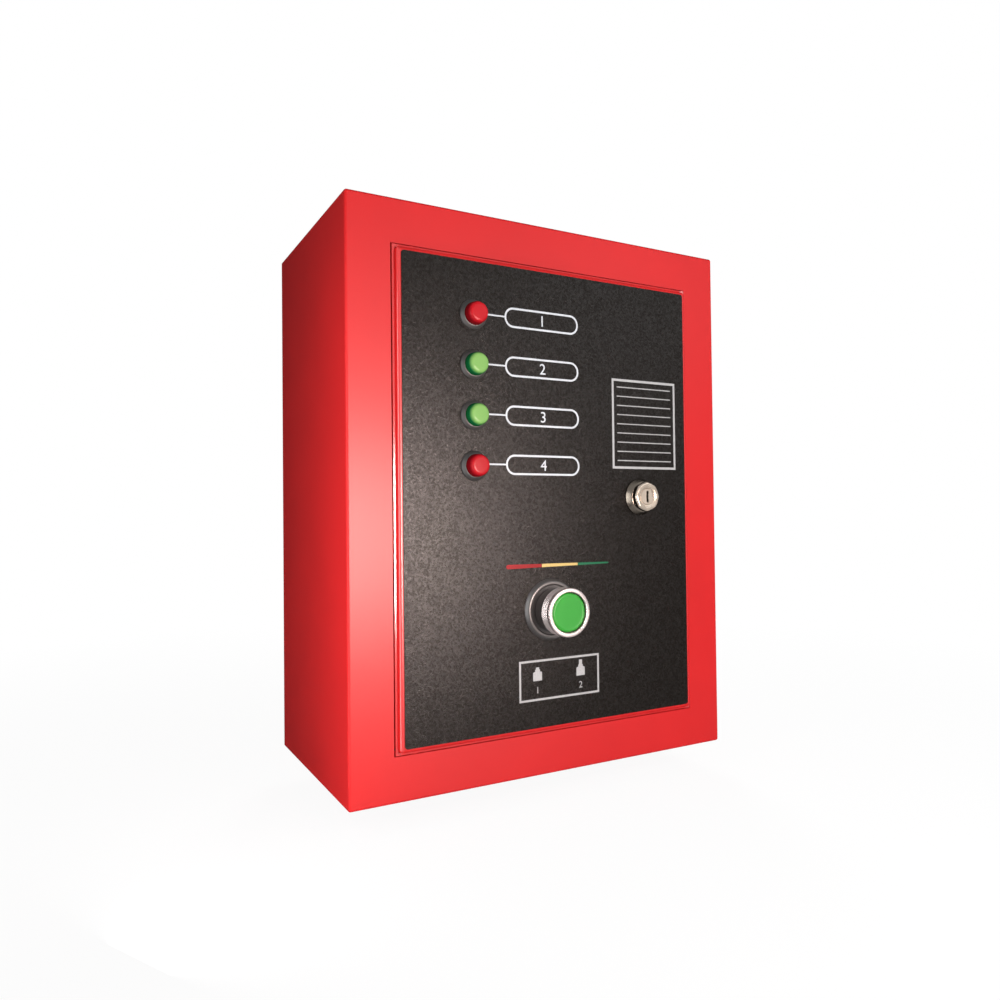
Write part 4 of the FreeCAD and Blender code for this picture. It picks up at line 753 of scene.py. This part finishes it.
class TRANSFER_OT_button(bpy.types.Operator):
    """Turn the push button: collar, neck, chrome bezel, green cap and its spring"""
    bl_idname = "transfer_switch.button"
    bl_label = "Push Button"

    def execute(self, context):
        look = context.scene.switch_button
        place = middle("button_cap")
        satin = moulded_plastic("button_black", (0.020, 0.016, 0.015), roughness=0.42, texture=0.008 * MM,
                                coat_weight=0.5, coat_roughness=0.4)
        chrome = plated_metal("bezel_chrome", look.chrome, 0.27, groove=0.03 * MM)
        green = moulded_plastic("cap_green", look.cap, roughness=0.36, texture=0.006 * MM,
                                specular_ior_level=0.15)
        zinc = zinc_steel()
        dress(satin, "button_barrel", "button_stem", "contact_carrier", "contact_blocks")
        dress(zinc, "button_locknut")
        segments = 128
        collar = turned(self.collar(), place, segments, closed=True)
        bezel = turned(self.bezel(look.edge), place, segments, closed=True)
        cap = turned(self.cap(), place, segments)
        make_piece("collar", [collar], satin, "door", replaces=("button_collar",))
        make_piece("bezel", [bezel], chrome, "door", replaces=("button_bezel",))
        make_piece("cap", [cap], green, "button", replaces=("button_cap",))
        spring = make_piece("return_spring", [self.spring(place)], zinc, "door",
                            replaces=("button_spring",))
        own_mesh(spring)
        return {"FINISHED"}

    def collar(self):
        """A washer with a broad sloping shoulder, and a step down to a lower flat round the neck."""
        outer, front, back = round_node("button_collar")
        inner, flat = 11.2 * MM, front + 0.9 * MM
        profile = [
            (inner, back), (inner, flat), (outer - 4.4 * MM, flat), (outer - 3.9 * MM, front),
            (outer - 2.0 * MM, front), (outer, front + 2.5 * MM), (outer, back),
        ]
        return soften(profile, np.array([0, 0.3, 0.3, 0.4, 0.9, 0.4, 0.1]) * MM, steps=9)

    def bezel(self, edge):
        """A sleeve with turned grip rings, a broad rounded rim, and a lip that closes in on the cap.

        Behind the rim, every other point of the flank lies 0.28 mm deeper, which makes the rings.
        """
        outer, front, back = round_node("button_bezel")
        outer += 0.5 * MM
        inner, lip, step = 14.55 * MM, 13.5 * MM, 0.45 * MM
        grip = np.arange(back - 0.8 * MM, front + edge + 0.8 * MM, -step)
        cut = np.where(np.arange(len(grip)) % 2 == 0, 0.0, 0.28 * MM)
        rings = np.column_stack([outer - 0.1 * MM - cut, grip])
        behind = [(inner, back), (outer - 0.5 * MM, back)]
        ahead = [
            (outer, front + edge), (outer, front), (lip + 0.35 * MM, front + 0.05 * MM),
            (lip, front + 0.5 * MM), (lip, front + 4 * MM), (inner, front + 4 * MM),
        ]
        eases = [0, 0.2 * MM] + [0.08 * MM] * len(rings) + [0, edge, 0.3 * MM, 0.3 * MM, 0.1 * MM, 0]
        return soften(np.concatenate([behind, rings, ahead]), eases, steps=7)

    def spring(self, place):
        """A wire on a helix about Y, with a round section and flat ends.

        At turn t of n, the wire's middle lies at (r sin 2 pi t, y0 + (y1 - y0) t / n, r cos 2 pi t)
        from the button's axis, and its section is a circle across that line's direction.
        """
        wire, turns, sides, steps = 0.5 * MM, 4, 10, 40
        radius, front, back = round_node("button_spring")
        radius -= wire
        angle = np.linspace(0, 2 * math.pi * turns, turns * steps + 1)
        rise = (back - front - 2 * wire) / (2 * math.pi * turns)
        circle = np.column_stack([np.sin(angle), np.cos(angle)])
        outward = at_depth(circle, 0)
        along = at_depth(radius * np.column_stack([np.cos(angle), -np.sin(angle)]), rise)
        across = np.cross(unit(along), outward)
        line = at_depth(place + radius * circle, front + wire + rise * angle)
        around = np.linspace(0, 2 * math.pi, sides, endpoint=False)[None, :, None]
        section = np.cos(around) * outward[:, None] + np.sin(around) * across[:, None]
        points = (line[:, None] + wire * section).reshape(-1, 3)
        first, last = np.arange(sides), np.arange(len(points) - sides, len(points))
        return points, grid_faces(len(angle), sides, False, True) + [first[::-1].tolist(), last.tolist()]

    def cap(self):
        """A shallow dished face with a rolled edge."""
        radius, front, back = round_node("button_cap")
        profile = [
            (0, front + 0.35 * MM), (radius - 2.6 * MM, front + 0.25 * MM), (radius - 1.4 * MM, front),
            (radius, front + 0.9 * MM), (radius, back), (0, back),
        ]
        return soften(profile, np.array([0, 1.2, 0.8, 0.7, 0.2, 0]) * MM, steps=7)


class TRANSFER_OT_lock(bpy.types.Operator):
    """Shape the cam lock: a faceted head, and a plug with a warded keyway"""
    bl_idname = "transfer_switch.lock"
    bl_label = "Cam Lock"

    def execute(self, context):
        look = context.scene.switch_lock
        place = middle("lock_housing")
        # Behind this depth the plating is painted darker: painted shade on the head's flank and skirt behind
        # its face.
        painted_shade_start = low("lock_housing")[1] + 1.2 * MM
        metal = plated_metal("lock_plating", look.metal, 0.23, groove=0.006 * MM, tarnish=painted_shade_start)
        facet = 2 * math.pi / look.facets

        def flats(angle, radius, depth):
            """Radius factor of a regular polygon, mixed with 1, and only on the head's flank."""
            polygon = math.cos(facet / 2) / np.cos((angle % facet) - facet / 2)
            flank = (depth < SHEET_FACE - 5 * MM) & (radius > 8 * MM)
            return np.where(flank, 1 + look.flatness * (polygon - 1), 1.0)

        head = turned(self.head(), place, 160, closed=True, wave=flats)
        plug = self.plug(place)
        make_piece("lock_head", [head], metal, "door", replaces=("lock_housing",))
        make_piece("lock_core", [plug], metal, "lock_plug", replaces=("lock_plug",))
        dress(zinc_steel(), "lock_nut", "lock_cam", "lock_cam_nut")
        return {"FINISHED"}

    def head(self):
        """A sloped skirt on the sheet, a groove, and a faceted ring with a flat face round the plug."""
        base, face, end = round_node("lock_housing")
        bore, body, ring = 6.25 * MM, 9.5 * MM, 11 * MM
        profile = [
            (bore, end), (body - 0.5 * MM, end), (body, end - 0.5 * MM), (body, SHEET_FACE),
            (base, SHEET_FACE), (base, SHEET_FACE - 1.0 * MM), (10.9 * MM, SHEET_FACE - 4.8 * MM),
            (9.4 * MM, SHEET_FACE - 5.4 * MM), (ring, SHEET_FACE - 6.2 * MM), (ring, face + 1.3 * MM),
            (9.9 * MM, face), (7.4 * MM, face + 0.1 * MM), (7.0 * MM, face + 0.6 * MM),
            (bore, face + 0.7 * MM),
        ]
        eases = np.array([0, 0.1, 0.1, 0.1, 0.3, 0.8, 1.0, 0.3, 0.4, 0.6, 0.5, 0.2, 0.3, 0.1]) * MM
        return soften(profile, eases, steps=6)

    def plug(self, place):
        """Rows between a circle and the keyway's outline, at one angle each, from back to slot floor.

        The keyway's edge at angle a lies at the smaller of w/|sin a| and h/|cos a|, where w is its
        half width, narrowed on one side by two wards, and h its half height.
        """
        _, face, back = round_node("lock_plug")
        cam, floor = low("lock_cam")[1], face + 8.5 * MM
        radius, tail, half_height = 6.2 * MM, 3.0 * MM, 4.0 * MM
        angle = np.linspace(0, 2 * math.pi, 192, endpoint=False)
        sine, cosine = np.sin(angle), np.cos(angle)
        up = 0.9 * MM * cosine / np.maximum(np.abs(sine), 0.05)
        wards = np.exp(-((np.abs(up) - 1.6 * MM) / (0.5 * MM)) ** 2) * (sine > 0)
        beside = (0.9 - 0.4 * wards) * MM / np.maximum(np.abs(sine), 1e-6)
        slot = np.minimum(beside, half_height / np.maximum(np.abs(cosine), 1e-6))
        mouth = np.maximum(slot + 0.35 * MM, 1.2 * MM)
        rows = [
            (0, back), (tail - 0.2 * MM, back), (tail, back - 0.3 * MM), (tail, cam), (radius, cam),
            (radius, face + 0.5 * MM), (radius - 0.5 * MM, face), (mouth, face), (slot, face + 0.35 * MM),
            (slot, floor), (0, floor),
        ]
        points = np.concatenate([
            at_depth(np.column_stack([place[0] + r * sine, place[1] + r * cosine]), y) for r, y in rows
        ])
        return points, grid_faces(len(rows), len(angle), False, True)


class TRANSFER_OT_switchgear(bpy.types.Operator):
    """Finish the contactors, their interlock, the rails and the mounting plate"""
    bl_idname = "transfer_switch.switchgear"
    bl_label = "Contactors and Rails"

    def execute(self, context):
        dress(galvanised(), "mounting_plate", "contactor_rail", "terminal_rail")
        dress(zinc_steel(), "plate_standoffs", "stud_nuts", "rail_screws", "contactor_screws")
        dress_plastic("contactor_grey", (0.42, 0.43, 0.42), "mains_contactor_housing",
                      "generator_contactor_housing")
        dress_plastic("contactor_black", (0.02, 0.02, 0.022), "mains_contactor_base",
                      "generator_contactor_base", "interlock_housing")
        dress_plastic("armature_blue", (0.02, 0.07, 0.24), "mains_armature", "generator_armature")
        dress_plastic("rocker_orange", (0.72, 0.17, 0.015), "interlock_rocker")
        return {"FINISHED"}


class TRANSFER_OT_board(bpy.types.Operator):
    """Finish the control board and the parts on it"""
    bl_idname = "transfer_switch.board"
    bl_label = "Control Board"

    def execute(self, context):
        dress(solder_mask(), "control_board")
        dress(laminations(), "control_transformer")
        dress_plastic("nylon_white", (0.74, 0.73, 0.68), "board_supports")
        dress_plastic("relay_blue", (0.012, 0.05, 0.30), "control_relays")
        dress_plastic("component_black", (0.014, 0.014, 0.016), "board_components", "board_fuse_holder")
        dress_plastic("header_green", (0.02, 0.20, 0.05), "board_screw_header")
        return {"FINISHED"}


class TRANSFER_OT_wiring_points(bpy.types.Operator):
    """Finish the terminals, cable glands and earth stud"""
    bl_idname = "transfer_switch.wiring_points"
    bl_label = "Terminals and Glands"

    def execute(self, context):
        dress_plastic("terminal_grey", (0.36, 0.37, 0.38), "mains_terminals", "generator_terminals",
                      "load_terminals", "terminal_end_stops")
        dress_plastic("terminal_earth", (0.18, 0.36, 0.04), "earth_terminal")
        dress_plastic("gland_nylon", (0.016, 0.016, 0.018), "gland_bodies", "gland_locknuts", "gland_caps")
        dress(brass(), "earth_stud")
        return {"FINISHED"}


class TRANSFER_OT_stage(bpy.types.Operator):
    """Set the floor, surroundings, lights and camera"""
    bl_idname = "transfer_switch.stage"
    bl_label = "Stage and Camera"

    def execute(self, context):
        look = context.scene.switch_stage
        self.floor(look)
        self.surroundings(context.scene, look)
        self.light("key_light", (-0.285, -0.235, -0.03), 0.08, look.key_power, height=0.45)
        front = self.light("front_light", (0.04, -0.74, 0.03), 0.7, look.front_power)
        front.visible_glossy = False
        sheen = self.light("sheen_light", (0.0, -0.62, -0.035), 0.22, look.sheen_power)
        sheen.visible_diffuse = False
        sheen.data.color = look.sheen_colour
        self.light("fill_light", (0.75, -1.05, 0.45), 0.5, look.fill_power)
        self.light("back_light", (0.55, 0.95, 0.55), 0.6, look.back_power)
        self.camera(context.scene, look)
        context.scene.view_settings.view_transform = "Standard"
        return {"FINISHED"}

    def floor(self, look):
        """A pale, level floor just below the glands."""
        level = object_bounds()[0][2] - 0.2 * MM
        mesh = bpy.data.meshes.new("stage_floor")
        mesh.from_pydata([(-4, -4, level), (6, -4, level), (6, 4, level), (-4, 4, level)], [], [(0, 1, 2, 3)])
        mesh.materials.append(self.paper(look))
        floor = bpy.data.objects.new("stage_floor", mesh)
        bpy.context.scene.collection.objects.link(floor)
        floor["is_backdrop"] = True

    def paper(self, look):
        """Pale paper that shows white where it is seen straight, mirrored or through glass."""
        finish = Finish("stage_paper", look.floor, roughness=0.9)
        finish.wire(normal=finish.relief(finish.noise(300), 0.05 * MM, 0.2))
        reach = finish.add("ShaderNodeVectorMath", {0: finish.place}, operation="LENGTH")
        white = finish.spread(reach.outputs["Value"], 0.3, 0.9, 0.93, 1.0)
        glow = finish.add("ShaderNodeEmission", {"Strength": 1.0}).outputs[0]
        factor = finish.maths("MULTIPLY", finish.seen_rays(), white)
        mix = finish.add("ShaderNodeMixShader", {0: factor, 1: finish.shader.outputs[0], 2: glow})
        finish.feed(finish.nodes["Material Output"].inputs["Surface"], mix.outputs[0])
        return finish.material

    def surroundings(self, scene, look):
        """A dim even sky, which shows white where it is seen straight, mirrored or through glass."""
        scene.world = scene.world or bpy.data.worlds.new("surroundings")
        scene.world.use_nodes = True
        sky = Wiring(scene.world.node_tree)
        sky.nodes.clear()
        strength = sky.spread(sky.seen_rays(), 0.0, 1.0, look.sky, 1.0)
        background = sky.add("ShaderNodeBackground", {"Color": (1, 1, 1, 1), "Strength": strength})
        sky.add("ShaderNodeOutputWorld", {"Surface": background.outputs[0]})

    def light(self, name, place, size, power, height=None):
        """An elliptical area light that faces the middle of the box."""
        lamp = bpy.data.lights.new(name, "AREA")
        lamp.shape = "ELLIPSE"
        lamp.size = size
        lamp.size_y = height or size
        lamp.energy = power
        holder = bpy.data.objects.new(name, lamp)
        bpy.context.scene.collection.objects.link(holder)
        aim = Vector((0, -0.08, 0)) - Vector(place)
        holder.matrix_world = Matrix.Translation(place) @ aim.to_track_quat("-Z", "Y").to_matrix().to_4x4()
        return holder

    def camera(self, scene, look):
        """A camera at the front left, level with the middle of the box."""
        place = (-0.2980, -0.6224, -0.0105)
        forward = Vector((0.48178, 0.87611, 0.01781)).normalized()
        right = forward.cross(Vector((0.00062, -0.02066, 0.99978))).normalized()
        turn = Matrix((right, right.cross(forward), -forward)).transposed().to_4x4()
        lens = bpy.data.cameras.new("camera")
        lens.lens = look.focal_length
        lens.sensor_width = 36.0
        lens.clip_start = 0.01
        camera = bpy.data.objects.new("camera", lens)
        scene.collection.objects.link(camera)
        camera.matrix_world = Matrix.Translation(place) @ turn
        scene.camera = camera


LOOKS = [
    ("switch_case", CaseLook), ("switch_sheet", SheetLook), ("switch_lamps", LampLook),
    ("switch_button", ButtonLook), ("switch_lock", LockLook), ("switch_stage", StageLook),
]
STEPS = [
    TRANSFER_OT_case, TRANSFER_OT_front_sheet, TRANSFER_OT_lamps, TRANSFER_OT_button, TRANSFER_OT_lock,
    TRANSFER_OT_switchgear, TRANSFER_OT_board, TRANSFER_OT_wiring_points, TRANSFER_OT_stage,
]


class TRANSFER_PT_panel(bpy.types.Panel):
    """Sizes, colours and steps of the transfer switch box"""
    bl_idname = "TRANSFER_PT_panel"
    bl_label = "Transfer Switch"
    bl_space_type = "VIEW_3D"
    bl_region_type = "UI"
    bl_category = "Transfer Switch"

    def draw(self, context):
        for attribute, look in LOOKS:
            box = self.layout.box()
            group = getattr(context.scene, attribute)
            for name in look.__annotations__:
                box.prop(group, name)
        for step in STEPS:
            self.layout.operator(step.bl_idname)


def register():
    for attribute, look in LOOKS:
        bpy.utils.register_class(look)
        setattr(bpy.types.Scene, attribute, PointerProperty(type=look))
    for kind in (*STEPS, TRANSFER_PT_panel):
        bpy.utils.register_class(kind)


def unregister():
    for kind in (TRANSFER_PT_panel, *reversed(STEPS)):
        bpy.utils.unregister_class(kind)
    for attribute, look in reversed(LOOKS):
        delattr(bpy.types.Scene, attribute)
        bpy.utils.unregister_class(look)


def main():
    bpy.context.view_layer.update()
    register()
    for step in STEPS:
        family, name = step.bl_idname.split(".")
        getattr(getattr(bpy.ops, family), name)()


if __name__ == "__main__":
    main()
